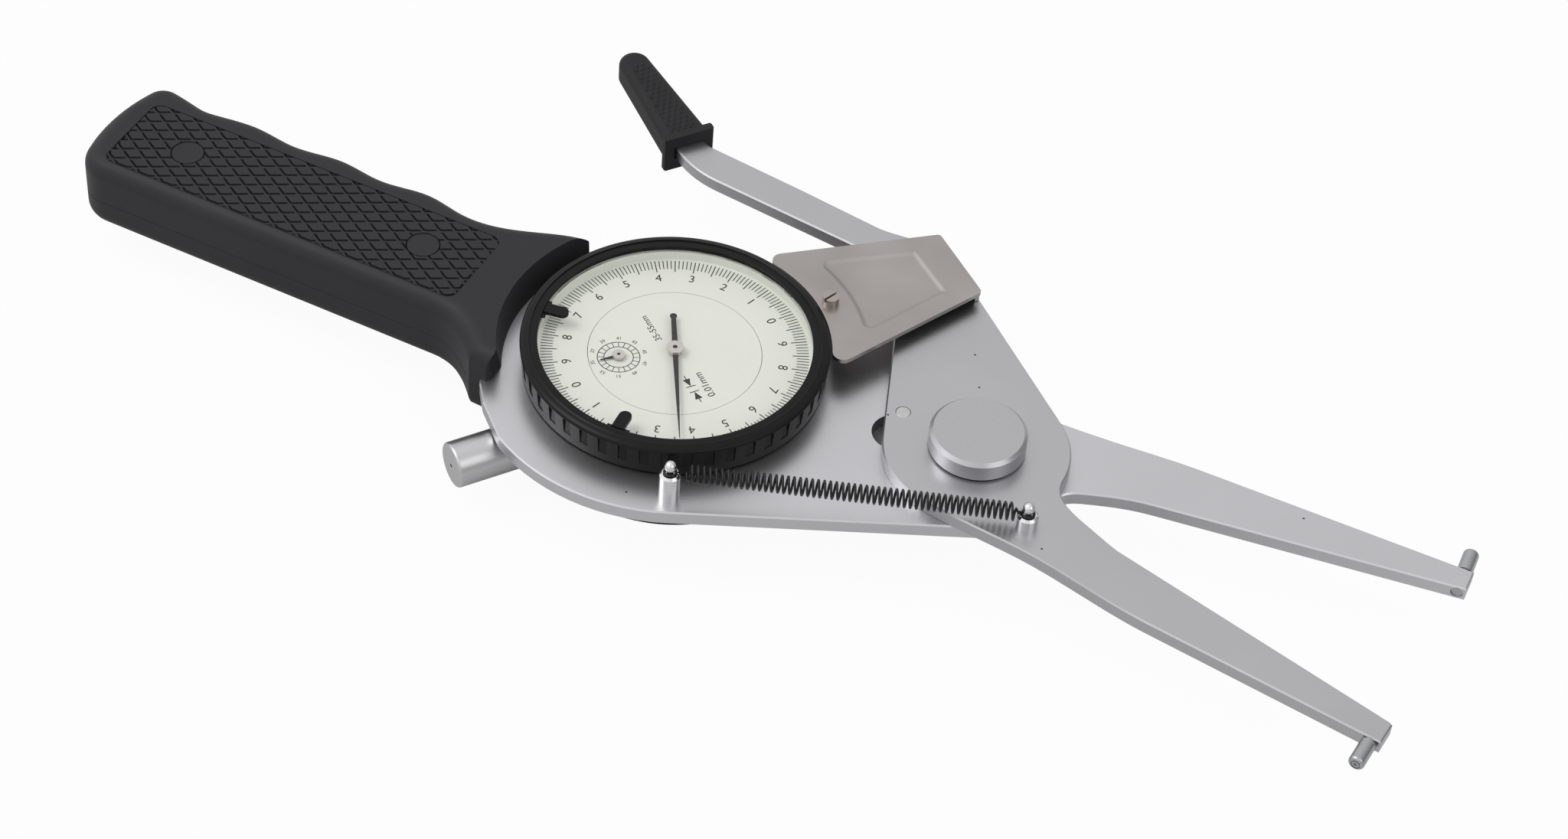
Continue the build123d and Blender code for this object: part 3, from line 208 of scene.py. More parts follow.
# Base plate and moving jaw: two blanks of stainless plate, ground and blasted to an even satin.
# The jaw lies on the plate and is a shade darker.
class Finish(Nodes):
    """A procedural material on Object coordinates, which are metres in the frame of the gauge."""

    def __init__(self, name):
        self.material = bpy.data.materials.new(name)
        self.material.use_nodes = True
        super().__init__(self.material.node_tree)
        self.place = self.add("ShaderNodeTexCoord", {}, {}, "Object")

    def noise(self, size_mm, detail=2.0, stretch=None):
        """Cloudy pattern from 0 to 1 with features of a size in millimetres, stretched if asked."""
        place = self.place
        if stretch:
            place = self.add("ShaderNodeMapping", {}, {"Vector": place, "Scale": stretch})
        sockets = {"Vector": place, "Scale": 1000 / size_mm, "Detail": detail}
        return self.add("ShaderNodeTexNoise", {}, sockets)

    def specks(self, apart_mm, radius_mm):
        """1 in small round spots that stand some way apart, seen from above, and 0 elsewhere."""
        away = self.add(
            "ShaderNodeTexVoronoi",
            {"voronoi_dimensions": "2D"},
            {"Vector": self.place, "Scale": 1000 / apart_mm},
            "Distance",
        )
        return away.maths("LESS_THAN", away, radius_mm / apart_mm)

    def dents(self, height, depth_mm):
        """Bumped normal from a height of 0 to 1 and a real depth."""
        return self.add("ShaderNodeBump", {}, {"Height": height, "Distance": depth_mm / 1000})

    def from_axis(self, x_mm, y_mm):
        """Distance in millimetres from an upright axis."""
        shifted = self.add(
            "ShaderNodeVectorMath",
            {"operation": "MULTIPLY_ADD"},
            {0: self.place, 1: (1000, 1000, 0), 2: (-x_mm, -y_mm, 0)},
        )
        return self.add("ShaderNodeVectorMath", {"operation": "LENGTH"}, {0: shifted}, "Value")

    def surface(self, **sockets):
        """Sets the main shader, with words joined by underscores for its sockets."""
        named = {name.replace("_", " "): value for name, value in sockets.items()}
        for name, value in named.items():
            if isinstance(value, tuple) and len(value) == 3:
                named[name] = (*value, 1)
        self.fill(self.tree.nodes["Principled BSDF"], named)
        return self


def dress(finish, *names):
    """Gives CAD nodes a finish."""
    for name in names:
        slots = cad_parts[name].data.materials
        slots.clear()
        slots.append(finish.material)


def satin_steel(name, dark, light):
    """Satin steel plate between two colours, cloudy, with a blasted grain and a few specks."""
    satin = Finish(name)
    clouds, blast = satin.noise(22.0), satin.noise(0.35, 3.0)
    speck = satin.specks(apart_mm=24.0, radius_mm=0.2)
    return satin.surface(
        Base_Color=satin.mix(speck, satin.mix(clouds, dark, light), (0.08, 0.08, 0.08)),
        Metallic=1.0,
        Roughness=blast * 0.14 + 0.27,
        Normal=satin.dents(blast, 0.006),
    )


dress(satin_steel("base_steel", (0.53, 0.53, 0.550), (0.60, 0.60, 0.622)), "base_plate")
dress(satin_steel("jaw_steel", (0.44, 0.44, 0.455), (0.50, 0.50, 0.517)), "moving_jaw")


# Spring posts and the spindle's bush: turned from bar and left bright, with the fine rings of the
# tool still on them. Each is pressed into its plate.
def bare_metal(
    name, grain_mm, dark, light, shine, spread, depth_mm, detail=2.0, stretch=None, metallic=1.0
):
    """Bare metal between two colours. Its grain, of a size in millimetres, also shows in dents of
    a depth and in its roughness, which goes from shine, where the grain is lowest, to
    shine + spread."""
    metal = Finish(name)
    grain = metal.noise(grain_mm, detail, stretch)
    return metal.surface(
        Base_Color=metal.mix(grain, dark, light),
        Metallic=metallic,
        Roughness=grain * spread + shine,
        Normal=metal.dents(grain, depth_mm),
    )


bright_steel = bare_metal(
    "bright_steel",
    grain_mm=0.5,
    dark=(0.62, 0.62, 0.63),
    light=(0.74, 0.74, 0.75),
    shine=0.12,
    spread=0.12,
    depth_mm=0.004,
    stretch=(0.12, 0.12, 1.0),
)
dress(bright_steel, "spring_post_base", "spring_post_jaw", "stem_bush")


# Contact pins: stepped pins of steel, hardened and lapped, which leaves them darker than the
# posts. Each is pressed across the end of its leg.
hardened_steel = bare_metal(
    "hardened_steel",
    grain_mm=0.3,
    dark=(0.36, 0.365, 0.375),
    light=(0.46, 0.465, 0.475),
    shine=0.16,
    spread=0.12,
    depth_mm=0.003,
)
dress(hardened_steel, "contact_pin_fixed", "contact_pin_moving")


# Barrel and rear stem: ground tube with a satin surface, which holds the spindle and its spring.
# The barrel screws on the stem, and the stem is fixed in the case.
ground_steel = bare_metal(
    "ground_steel",
    grain_mm=0.25,
    dark=(0.50, 0.50, 0.51),
    light=(0.58, 0.58, 0.59),
    shine=0.26,
    spread=0.12,
    depth_mm=0.004,
    detail=3.0,
)
dress(ground_steel, "rear_stem", "barrel")


# Pivot knob: a flat round nut of steel on the jaw's shaft, faced on a lathe to a fine satin that
# shows the tool's rings, with a broken edge.
pivot_x, pivot_y = 54.2, -2.3
ring_radians_per_mm = 40.0
faced = Finish("faced_steel")
tool_turn = faced.from_axis(pivot_x, pivot_y) * ring_radians_per_mm
tool_rings = tool_turn.maths("SINE", tool_turn) * 0.5 + 0.5
haze = faced.noise(0.5, 3.0)
faced.surface(
    Base_Color=faced.mix(haze, (0.44, 0.44, 0.455), (0.49, 0.49, 0.508)),
    Metallic=1.0,
    Roughness=haze * 0.10 + 0.26,
    Normal=faced.dents(tool_rings, 0.0015),
)
dress(faced, "pivot_knob")


# Screws, shafts, spindle and the other plain parts: steel turned from bar, with the marks of the
# lathe. The stop pin is riveted in the jaw.
turned_steel = bare_metal(
    "turned_steel",
    grain_mm=0.4,
    dark=(0.46, 0.46, 0.46),
    light=(0.62, 0.62, 0.62),
    shine=0.22,
    spread=0.2,
    depth_mm=0.006,
    stretch=(0.3, 0.3, 1.0),
)
dress(turned_steel, "pivot_shaft", "drive_pin", "stop_pin", "cover_posts", "handle_screws")
dress(turned_steel, "rear_screws", "ring_nut", "centre_arbor", "spindle", "spindle_foot")


# Cover: pressed from warm stainless sheet, with a raised rim round a sunk panel and a slotted
# screw of the same steel. The sheet keeps the fine grain of its rolling.
cover_screw_steel = bare_metal(
    "cover_screw_steel",
    grain_mm=0.3,
    dark=(0.34, 0.30, 0.28),
    light=(0.46, 0.42, 0.40),
    shine=0.14,
    spread=0.12,
    depth_mm=0.006,
)
dress(cover_screw_steel, "cover_screw")
sheet_steel = Finish("cover_steel")
rolled = sheet_steel.noise(0.5, 3.0, (0.06, 1.0, 1.0))
# Broad clouds of darker and lighter colour are painted reflection: they stand in for the uneven
# light mirrored by the sheet
reflection_clouds = sheet_steel.noise(14.0)
sheet_steel.surface(
    Base_Color=sheet_steel.mix(reflection_clouds, (0.31, 0.287, 0.273), (0.48, 0.45, 0.435)),
    Metallic=1.0,
    Roughness=rolled * 0.14 + 0.26,
    Normal=sheet_steel.dents(rolled, 0.006),
)
dress(sheet_steel, "cover_plate")
edge_break_mm, edge_steps = 0.16, 2
broken_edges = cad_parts["cover_plate"].modifiers.new("broken_edges", "BEVEL")
broken_edges.width, broken_edges.segments = edge_break_mm / 1000, edge_steps
broken_edges.limit_method = "ANGLE"


def new_piece(name, points, faces, finish, body, smooth=False):
    """A mesh from points in millimetres and faces, with a finish, riding on a body of the gauge."""
    mesh = bpy.data.meshes.new(name)
    mesh.from_pydata((np.asarray(points, float) / 1000).tolist(), [], faces)
    mesh.polygons.foreach_set("use_smooth", np.full(len(mesh.polygons), smooth))
    mesh.materials.append(finish.material)
    mesh.update()
    piece = bpy.data.objects.new(name, mesh)
    bpy.context.scene.collection.objects.link(piece)
    if body:
        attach(piece, body)
    return piece


def grid_faces(rows, columns, round_rows=False, round_columns=False):
    """Four-sided faces of a grid of points, row after row, with either way closed into a ring."""
    row, column = np.meshgrid(
        np.arange(rows if round_rows else rows - 1),
        np.arange(columns if round_columns else columns - 1),
        indexing="ij",
    )
    here, below = row * columns, (row + 1) % rows * columns
    beside = (column + 1) % columns
    corners = (here + column, here + beside, below + beside, below + column)
    return np.stack(corners, -1).reshape(-1, 4).tolist()


def tube_faces(rows, columns):
    """Faces of a closed tube: its rings of points are the rows of a grid, and a flat face closes
    each end."""
    ends = [list(range(columns))[::-1], list(range((rows - 1) * columns, rows * columns))]
    return grid_faces(rows, columns, round_columns=True) + ends


def turned(faces):
    """The same faces, each seen from its other side."""
    return [face[::-1] for face in faces]


# The sheet flows round the edge of the sunk panel in a soft slope
panel_corners = np.array([(15.6, 28.15), (31.7, 37.4), (39.7, 29.4), (29.3, 13.9)])
panel_arc_radius, panel_round = 32.5, 1.8
cover_level, panel_level = 20.4, 20.15
panel_slope, slope_sunk, slope_proud = 1.0, 0.003, 0.008
panel_middle = np.array([31.0, 28.0])
reach_most, halvings, ring_step = 20.0, 24, 1.5
inner_shares = (0.05, 0.3, 0.55)
outer_distances = (1.9, 1.5, 1.2, 1.0, 0.85, 0.7, 0.55, 0.4, 0.25, 0.1, 0.0, -0.1)
skirt_depth = 0.1


def round_min(first, second, radius):
    """The smaller of two distances, with their corner rounded."""
    corner = radius - np.hypot(np.maximum(radius - first, 0), np.maximum(radius - second, 0))
    return np.where((first < radius) & (second < radius), corner, np.minimum(first, second))


def panel_inside(x, y):
    """Distance in from the panel's outline, which is three straight edges and an arc round the
    dial."""
    edges = []
    for start, stop in zip(panel_corners, np.roll(panel_corners, -1, 0)):
        way = (stop - start) / np.linalg.norm(stop - start)
        edges.append((x - start[0]) * way[1] - (y - start[1]) * way[0])
    arc = np.hypot(x, y) - panel_arc_radius
    first, second = (round_min(arc, edges[k], panel_round) for k in (0, 2))
    return np.minimum(np.minimum(first, second), edges[1])


# Rings of points round the middle of the panel: the outline's distance in each direction is found
# by halving, the rings follow it, and a skirt under the last one stands inside the sheet
heading = np.radians(np.arange(0, 360, ring_step))
heading = np.stack([np.cos(heading), np.sin(heading)], -1)
near, far = np.zeros(len(heading)), np.full(len(heading), reach_most)
for _ in range(halvings):
    halfway = (near + far) / 2
    within = panel_inside(*(panel_middle + heading * halfway[:, None]).T) > 0
    near, far = np.where(within, halfway, near), np.where(within, far, halfway)
ring_reach = np.stack(
    [near * share for share in inner_shares]
    + [near - back for back in (*outer_distances, outer_distances[-1])]
)
ring_points = panel_middle + heading * ring_reach[:, :, None]
fall = np.clip(panel_inside(ring_points[..., 0], ring_points[..., 1]) / panel_slope, 0, 1)
fall = fall * fall * (3 - 2 * fall)
level = cover_level - slope_sunk + (panel_level + slope_proud - cover_level) * fall
level[-1] = panel_level - skirt_depth
points = np.concatenate([ring_points, level[..., None]], -1).reshape(-1, 3)
faces = turned(tube_faces(*level.shape))
new_piece("cover_panel", points, faces, sheet_steel, "root", True)


# Stop hole: the hole in the base plate that the stop pin travels in. A thin grey disc at the back
# of the plate closes it; its colour is painted shade, standing for the shadowed floor seen through
# it.
hole_x, hole_y, hole_radius = pivot_x - 14.1, pivot_y + 0.8, 4.17
hole_levels = (12.62, 12.75)
spin = np.radians(np.arange(0, 360, 5.0))
disc = np.stack([hole_x + hole_radius * np.cos(spin), hole_y + hole_radius * np.sin(spin)], -1)
points = np.concatenate([np.insert(disc, 2, level, 1) for level in hole_levels])
shade = Finish("hole_shade")
# Painted shade, mottled a little lighter and darker
shadow_mottle = shade.noise(0.8)
shade.surface(
    Base_Color=shade.mix(shadow_mottle, (0.17, 0.17, 0.17), (0.24, 0.24, 0.24)),
    Roughness=shadow_mottle * 0.2 + 0.5,
)
new_piece("stop_hole_shadow_disc", points, tube_faces(2, len(disc)), shade, "root")


# Handle: two halves moulded in black plastic with a fine eroded texture, screwed together
# through the plate. Two flush plugs close the screw holes, and the case is the same plastic.
moulding = Finish("black_plastic")
spark, wear = moulding.noise(0.22, 3.0), moulding.noise(16.0)
moulding.surface(
    Base_Color=moulding.mix(wear, (0.0190, 0.0186, 0.0210), (0.0255, 0.0250, 0.0280)),
    Specular_IOR_Level=0.22,
    Roughness=spark * 0.16 + 0.42,
    Normal=moulding.dents(spark, 0.02),
)
dress(moulding, "handle_front", "handle_rear", "handle_plugs", "case", "rear_cover")

# Each half has a grip pad, cut in diamonds. Sizes on it run along the handle and across it
handle_turn = math.radians(-9.0)
pad_ends, pad_sides, pad_corner = (-109.0, -37.7), (-10.2, 7.2), 2.0
pad_top, pad_floor = 21.05, 20.45
pad_under, pad_roof = 6.65, 7.25
floor_gap = 0.02
diamond_long, diamond_short = 4.72, 2.85
diamond_start = (-88.4, -9.25)
slot_in, slot_half, slot_slope, slot_corner = 0.16, 0.08, 0.10, 0.55
slot_from, slot_to, slot_fade = 0.14, 0.86, 0.10
wide_seam, thin_seam = 0.14, 0.015
plug_places, plug_clear, plug_slope = [(-96.9, -1.3), (-49.0, -0.9)], 2.86, 0.16
pad_step, pad_edge, pad_inset = 0.118, 0.03, 0.01


def relief(along, across, height, place, flip):
    """A patch of raised pattern: a grid of heights on two axes whose border lies at height 0, and
    a fan of flat faces from that border to the middle underneath. flip turns the faces for a
    patch that looks down."""
    u, v = np.meshgrid(along, across, indexing="ij")
    points = place(u, v, height(u, v))
    rows, columns = u.shape
    number = np.arange(rows * columns).reshape(rows, columns)
    border = np.concatenate(
        [number[0, :-1], number[:-1, -1], number[-1, :0:-1], number[:0:-1, 0]]
    )
    fan = np.stack([np.roll(border, -1), border, np.full(len(border), rows * columns)], -1)
    faces = grid_faces(rows, columns) + fan.tolist()
    middle = points[:: rows - 1, :: columns - 1].mean((0, 1))
    points = np.concatenate([points.reshape(-1, 3), [middle]])
    return points, faces if flip else turned(faces)


def pad_rim(u, v):
    """Distance in from the rounded outline of the grip pad, which is below 0 outside it."""
    middle = [(a + b) / 2 for a, b in (pad_ends, pad_sides)]
    half = [(b - a) / 2 - pad_corner for a, b in (pad_ends, pad_sides)]
    out = [np.abs(w - m) - h for w, m, h in zip((u, v), middle, half)]
    beyond = np.hypot(np.maximum(out[0], 0), np.maximum(out[1], 0))
    return pad_corner - beyond - np.minimum(np.maximum(out[0], out[1]), 0)


def diamonds(u, v, plugs):
    """Height of 0 to 1 over the grip pad: the pad is flat, in diamonds, and a slot is cut along
    the two front edges of each, round its corner, and fades out before the diamond's two sides.
    Where the outline of the pad cuts off the corner, the slot follows the outline. The height
    falls to 0 at the outline, with a wider seam at the back and outer end, and round each plug."""
    along, across = (u - diamond_start[0]) / diamond_long, (v - diamond_start[1]) / diamond_short
    first, second = along + across, along - across
    spacing = 1 / math.hypot(1 / diamond_long, 1 / diamond_short)
    left, front = first - np.floor(first), np.ceil(second) - second
    corner = np.hypot(
        np.maximum(slot_corner - left * spacing, 0), np.maximum(slot_corner - front * spacing, 0)
    )
    inside = np.maximum(slot_corner - corner, 0)
    inside = np.where(corner > 0, inside, np.minimum(left, front) * spacing)
    rim = pad_rim(u, v)
    edge = np.minimum(inside, np.where(v < sum(pad_sides) / 2, rim - slot_in, np.inf))
    fade_in = np.clip((1 - front - slot_from) / slot_fade, 0, 1)
    fade_out = np.clip((slot_to - left) / slot_fade, 0, 1)
    slot = np.clip(1 - (np.abs(edge - slot_in) - slot_half) / slot_slope, 0, 1)
    rise = 1 - slot * (fade_in * fade_out)
    at_back = (v > pad_sides[0] + 2 * pad_corner) & (u < pad_ends[1] - pad_corner)
    rise = np.where(rim > np.where(at_back, wide_seam, thin_seam), rise, 0)
    for x, y in plugs:
        out_of_plug = (np.hypot(u - x, v - y) - plug_clear) / plug_slope
        rise = np.minimum(rise, np.clip(out_of_plug, 0, 1))
    return rise


def pad_lines(low, high):
    """Places of the grid's lines from one side of the pad to the other, closer at both sides."""
    inner = np.arange(low + pad_edge, high - pad_edge, pad_step)
    return np.concatenate([[low + pad_inset], inner, [high - pad_edge, high - pad_inset]])


for name, plugs, low, high, flip in (
    ("grip_pad_front", plug_places, pad_floor + floor_gap, pad_top, False),
    ("grip_pad_rear", [], pad_roof - floor_gap, pad_under, True),
):
    points, faces = relief(
        pad_lines(*pad_ends),
        pad_lines(*pad_sides),
        lambda u, v: diamonds(u, v, plugs),
        lambda u, v, h: np.stack(
            [
                u * math.cos(handle_turn) - v * math.sin(handle_turn),
                u * math.sin(handle_turn) + v * math.cos(handle_turn),
                low + (high - low) * h,
            ],
            -1,
        ),
        flip,
    )
    new_piece(name, points, faces, moulding, "root")


# Finger grip: a sleeve of soft black rubber pushed on the end of the lever, with rows of small
# raised dots on its two flats.
rubber = Finish("grip_rubber")
skin, bloom = rubber.noise(0.3, 3.0), rubber.noise(5.0)
rubber.surface(
    Base_Color=rubber.mix(bloom, (0.014, 0.014, 0.0155), (0.021, 0.021, 0.023)),
    Specular_IOR_Level=0.2,
    Roughness=skin * 0.14 + 0.50,
    Normal=rubber.dents(skin, 0.02),
)
dress(rubber, "lever_grip")
grip_x, grip_y, grip_turn = pivot_x - 69.4, pivot_y + 54.9, math.radians(134.2)
grip_middle, grip_half_thick = 16.375, 2.9
flat_from, flat_to, flat_half, flat_taper = 1.8, 23.4, 2.8, 0.063
flat_step, flat_lines = 0.14, 41
dot_pitch, dot_row, dot_radius, dot_height, dot_sunk = 1.25, 1.15, 0.42, 0.28, 0.01
dots_from, dots_to, dots_share, dot_fullness = 2.4, 22.6, 0.97, 0.6


def across_flat(u, share):
    """Place across the flat in millimetres from a share of its half width, which shrinks to the
    grip's tip."""
    return share * (flat_half - flat_taper * u)


def dots(u, share):
    """Height over the flat of the grip: a round bump at each point of a staggered grid. The flat
    narrows to its tip, so share is the place across it from -1 to 1."""
    v = across_flat(u, share)
    row = np.round(u / dot_row)
    shift = np.where(row % 2 == 0, 0.0, 0.5)
    du = u - row * dot_row
    dv = (v / dot_pitch - shift - np.round(v / dot_pitch - shift)) * dot_pitch
    inside = (u > dots_from) & (u < dots_to) & (np.abs(share) < dots_share)
    bump = np.clip(1 - (du * du + dv * dv) / dot_radius**2, 0, 1) ** dot_fullness
    return np.where(inside, bump, 0)


for name, side, flip in (("grip_dots_front", 1, False), ("grip_dots_rear", -1, True)):
    points, faces = relief(
        np.arange(flat_from, flat_to, flat_step),
        np.linspace(-1, 1, flat_lines),
        dots,
        lambda u, share, h: np.stack(
            [
                grip_x + u * math.cos(grip_turn) - across_flat(u, share) * math.sin(grip_turn),
                grip_y + u * math.sin(grip_turn) + across_flat(u, share) * math.cos(grip_turn),
                grip_middle + side * (grip_half_thick - dot_sunk + dot_height * h),
            ],
            -1,
        ),
        flip,
    )
    new_piece(name, points, faces, rubber, "jaw", True)


# Tension spring: black spring wire wound in one close coil, with a loop at each end that hooks
# round the neck of its post. It pulls the legs apart and stretches as they are squeezed together;
# here the coil is built once, at rest, and does not stretch.
spring_black = bare_metal(
    "blued_spring",
    grain_mm=0.6,
    dark=(0.018, 0.017, 0.018),
    light=(0.034, 0.032, 0.034),
    shine=0.24,
    spread=0.15,
    depth_mm=0.003,
    metallic=0.6,
)
dress(spring_black, "pivot_washer", "bezel_clip", "hairspring")


def rod(line, reference, radius):
    """A round wire: a circle of points carried along a line of points. Its first axis is the
    reference direction made square to the line, and its second is square to both."""
    along = np.gradient(line, axis=0)
    along /= np.linalg.norm(along, axis=1, keepdims=True)
    first = reference - (reference * along).sum(1, keepdims=True) * along
    first /= np.linalg.norm(first, axis=1, keepdims=True)
    second = np.cross(along, first)
    turn = np.linspace(0, 2 * math.pi, wire_sides, endpoint=False)[None, :, None]
    outward = np.cos(turn) * first[:, None, :] + np.sin(turn) * second[:, None, :]
    points = line[:, None, :] + radius * outward
    return points.reshape(-1, 3), tube_faces(len(line), wire_sides)


post_first, post_second = np.array([9.1, -29.1, 20.775]), np.array([66.7, -16.6, 20.375])
wire_radius, wire_sides = 0.215, 8
coil_radius, coil_turns, turn_steps = 1.40, 55, 22
coil_start, coil_stop = 2.6, 1.8
loop_radius, loop_open, loop_closed, loop_steps = 0.995, -160, 180, 40
spring_way = post_second - post_first
spring_span = np.linalg.norm(spring_way)
spring_way /= spring_span
side_way = np.cross(spring_way, [0, 0, 1])
side_way /= np.linalg.norm(side_way)
lift_way = np.cross(side_way, spring_way)
coil_length = spring_span - coil_start - coil_stop


def loop(post, way, turn):
    """Points on a circle round a post, at angles counted from the side that faces the coil's far
    end, where way points."""
    return post - loop_radius * way * np.cos(turn) + loop_radius * side_way * np.sin(turn)


# The line runs round the first loop, straight out, along the coil, and round the second loop
loop_turn = np.radians(np.linspace(loop_open, loop_closed, loop_steps))[:, None]
coil_end = coil_turns * 2 * math.pi
turn = np.linspace(0, coil_end, coil_turns * turn_steps + 1)[:, None]
grow = np.clip(turn / math.pi, 0, 1) * np.clip((coil_end - turn) / math.pi, 0, 1)
coil = (
    post_first
    + spring_way * (coil_start + coil_length * turn / turn[-1])
    + coil_radius * grow * (np.sin(turn) * side_way + np.cos(turn) * lift_way)
)
line = np.concatenate(
    [
        loop(post_first, spring_way, loop_turn),
        coil,
        loop(post_second, -spring_way, -loop_turn[::-1]),
    ]
)
upright = np.tile([0.0, 0.0, 1.0], (loop_steps, 1))
across_line = np.concatenate([upright, np.tile(spring_way, (len(coil), 1)), upright])
points, faces = rod(line, across_line, wire_radius)
tension = new_piece("tension_coil", points, faces, spring_black, None, True)
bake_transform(tension)
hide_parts("tension_spring", "spring_end_loop")


# Return spring: a light open coil round the spindle between the stem bush and the foot. It is
# squeezed as the spindle is pushed home; here the coil is built once, at rest, and rides the root.
spindle_turn, spindle_level = math.radians(45.0), 8.0
return_from, return_to = 29.62, 42.4
return_wire, return_radius, return_turns, return_steps = 0.15, 2.6, 7, 24
return_inset = 0.16
spindle_way = np.array([math.cos(spindle_turn), math.sin(spindle_turn), 0.0])
spindle_side = np.array([-math.sin(spindle_turn), math.cos(spindle_turn), 0.0])
spindle_middle = np.array([0, 0, spindle_level])
turn = np.linspace(0, return_turns * 2 * math.pi, return_turns * return_steps + 1)[:, None]
return_length = return_to - return_from - 2 * return_inset
line = (
    spindle_middle
    + spindle_way * (return_from + return_inset + return_length * turn / turn[-1])
    + return_radius * (np.cos(turn) * spindle_side + np.sin(turn) * np.array([0, 0, 1.0]))
)
points, faces = rod(line, np.tile(spindle_way, (len(line), 1)), return_wire)
return_coil = new_piece("return_coil", points, faces, spring_black, "root", True)
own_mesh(return_coil)
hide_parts("return_spring")


# Bezel and markers: smooth black mouldings. The bezel turns by hand on the case and the two
# tolerance markers slide in it under its lip.
gloss = Finish("bezel_black")
smear, pits = gloss.noise(3.0), gloss.noise(0.25)
gloss.surface(
    Base_Color=gloss.mix(smear, (0.007, 0.007, 0.007), (0.011, 0.011, 0.011)),
    Specular_IOR_Level=0.12,
    Roughness=smear * 0.08 + 0.22,
    Normal=gloss.dents(pits, 0.006),
)
dress(gloss, "tolerance_marker_a", "tolerance_marker_b")

# Half of the bezel's section, anticlockwise from the inside of its foot: the side leans out, a
# rounded shoulder leads in to a ridge, and a step and a flat lip surround the crystal. Inside, the
# dial lies between the lip and a rib, and the bore under the rib turns on the case
foot_radius, rim_radius, ridge_radius, lip_radius = 25.93, 26.4, 24.82, 23.4
foot_level, shoulder_level, lip_level, ridge_level = 15.4, 20.6, 21.25, 21.5
bore_radius, wall_radius, rib_radius = 24.9, 23.95, 22.05
wall_top, rib_top, rib_under = 21.0, 17.15, 16.75
recess_floor, recess_low, recess_high = 25.95, 17.25, 20.55
side_level = [recess_low - 0.1, recess_low, 18.2, 19.2, 20.0, recess_high - 0.1, recess_high]
side_level = np.array([foot_level + 0.1, *side_level])
side_share = (side_level - foot_level) / (shoulder_level - foot_level)
side_radius = foot_radius + (rim_radius - foot_radius) * side_share
shoulder_in, shoulder_up = 2.2, 0.88
bend = np.radians(np.linspace(0, 66, 9))
shoulder_radius = rim_radius - shoulder_in * (1 - np.cos(bend))
section = np.concatenate(
    [
        [(bore_radius, foot_level), (foot_radius - 0.1, foot_level)],
        np.stack([side_radius, side_level], -1),
        np.stack([shoulder_radius, shoulder_level + shoulder_up * np.sin(bend)], -1),
        [(ridge_radius + 0.1, ridge_level), (ridge_radius, ridge_level - 0.05)],
        [(ridge_radius, lip_level + 0.03), (ridge_radius - 0.04, lip_level)],
        [(lip_radius + 0.08, lip_level), (lip_radius, lip_level - 0.06)],
        [(lip_radius, wall_top), (wall_radius, wall_top), (wall_radius, rib_top)],
        [(rib_radius, rib_top), (rib_radius, rib_under), (bore_radius, rib_under)],
    ]
)

# The section turns round the dial. Between its recesses the side is whole, and in each recess its
# points move in to the recess floor
recess_count, recess_turn, recess_half, sharp_from = 45, 5.6, 1.6, 28
recess_steps = np.array([-4.0, -2.9, -1.76, -1.56, -0.8, 0.0, 0.8, 1.56, 1.76, 2.9])
recess_turns = recess_turn + 360 / recess_count * np.arange(recess_count)[:, None] + recess_steps
spin = np.radians(recess_turns).reshape(-1, 1)
in_recess = np.tile(np.abs(recess_steps) < recess_half, recess_count)[:, None]
on_side = (section[:, 1] > recess_low - 0.01) & (section[:, 1] < recess_high - 0.01)
on_side &= section[:, 0] > recess_floor
reach = np.where(in_recess & on_side, recess_floor, section[:, 0])
level = np.broadcast_to(section[:, 1], reach.shape)
points = np.stack([reach * np.cos(spin), reach * np.sin(spin), level], -1).reshape(-1, 3)
faces = turned(grid_faces(len(spin), len(section), True, True))
rim = new_piece("bezel_rim", points, faces, gloss, "bezel", True)
rim.data.set_sharp_from_angle(angle=math.radians(sharp_from))
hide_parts("bezel_ring")


# Dial: a turning scale ring round a fixed inner disc, both enamelled a pale green-white. The
# marks and numbers are printed in thin black ink.
enamel = Finish("dial_paint")
speck = enamel.noise(0.6)
enamel.surface(
    Base_Color=enamel.mix(speck, (0.755, 0.772, 0.708), (0.785, 0.80, 0.735)),
    Roughness=speck * 0.1 + 0.45,
    Normal=enamel.dents(speck, 0.003),
)
dress(enamel, "scale_ring", "inner_dial")
ink = Finish("printing_ink")
lay = ink.noise(0.3)
ink.surface(
    Base_Color=ink.mix(lay, (0.015, 0.016, 0.015), (0.03, 0.031, 0.03)),
    Roughness=lay * 0.1 + 0.5,
)
dial_level, ink_sunk, ink_height = 18.3, 0.01, 0.02
ink_levels = np.array([dial_level - ink_sunk, dial_level + ink_height])
capital_share, letter_extrude, letter_steps, letter_join = 0.73, 0.01, 3, 1e-5


def around(radius, turns):
    """Places at a radius and an angle, or an array of angles, in degrees."""
    turns = np.radians(turns)
    return np.stack([radius * np.cos(turns), radius * np.sin(turns)], -1)


def bars(near, far, width):
    """Flat bars of ink from one point to another, both arrays of places on the dial: each is a
    closed box with the two places at the middle of its short ends."""
    near, far = np.atleast_2d(near).astype(float), np.atleast_2d(far).astype(float)
    along = (far - near) / np.linalg.norm(far - near, axis=1, keepdims=True)
    half = np.stack([-along[:, 1], along[:, 0]], -1) * np.reshape(width, (-1, 1)) / 2
    corners = np.stack([near - half, far - half, far + half, near + half], 1)
    layers = [np.insert(corners, 2, level, -1) for level in ink_levels]
    box = [[0, 3, 2, 1], [4, 5, 6, 7], [0, 1, 5, 4], [1, 2, 6, 5], [2, 3, 7, 6], [3, 0, 4, 7]]
    faces = (np.arange(len(near))[:, None, None] * 8 + np.array(box)).reshape(-1, 4)
    return np.concatenate(layers, 1).reshape(-1, 3), faces.tolist()


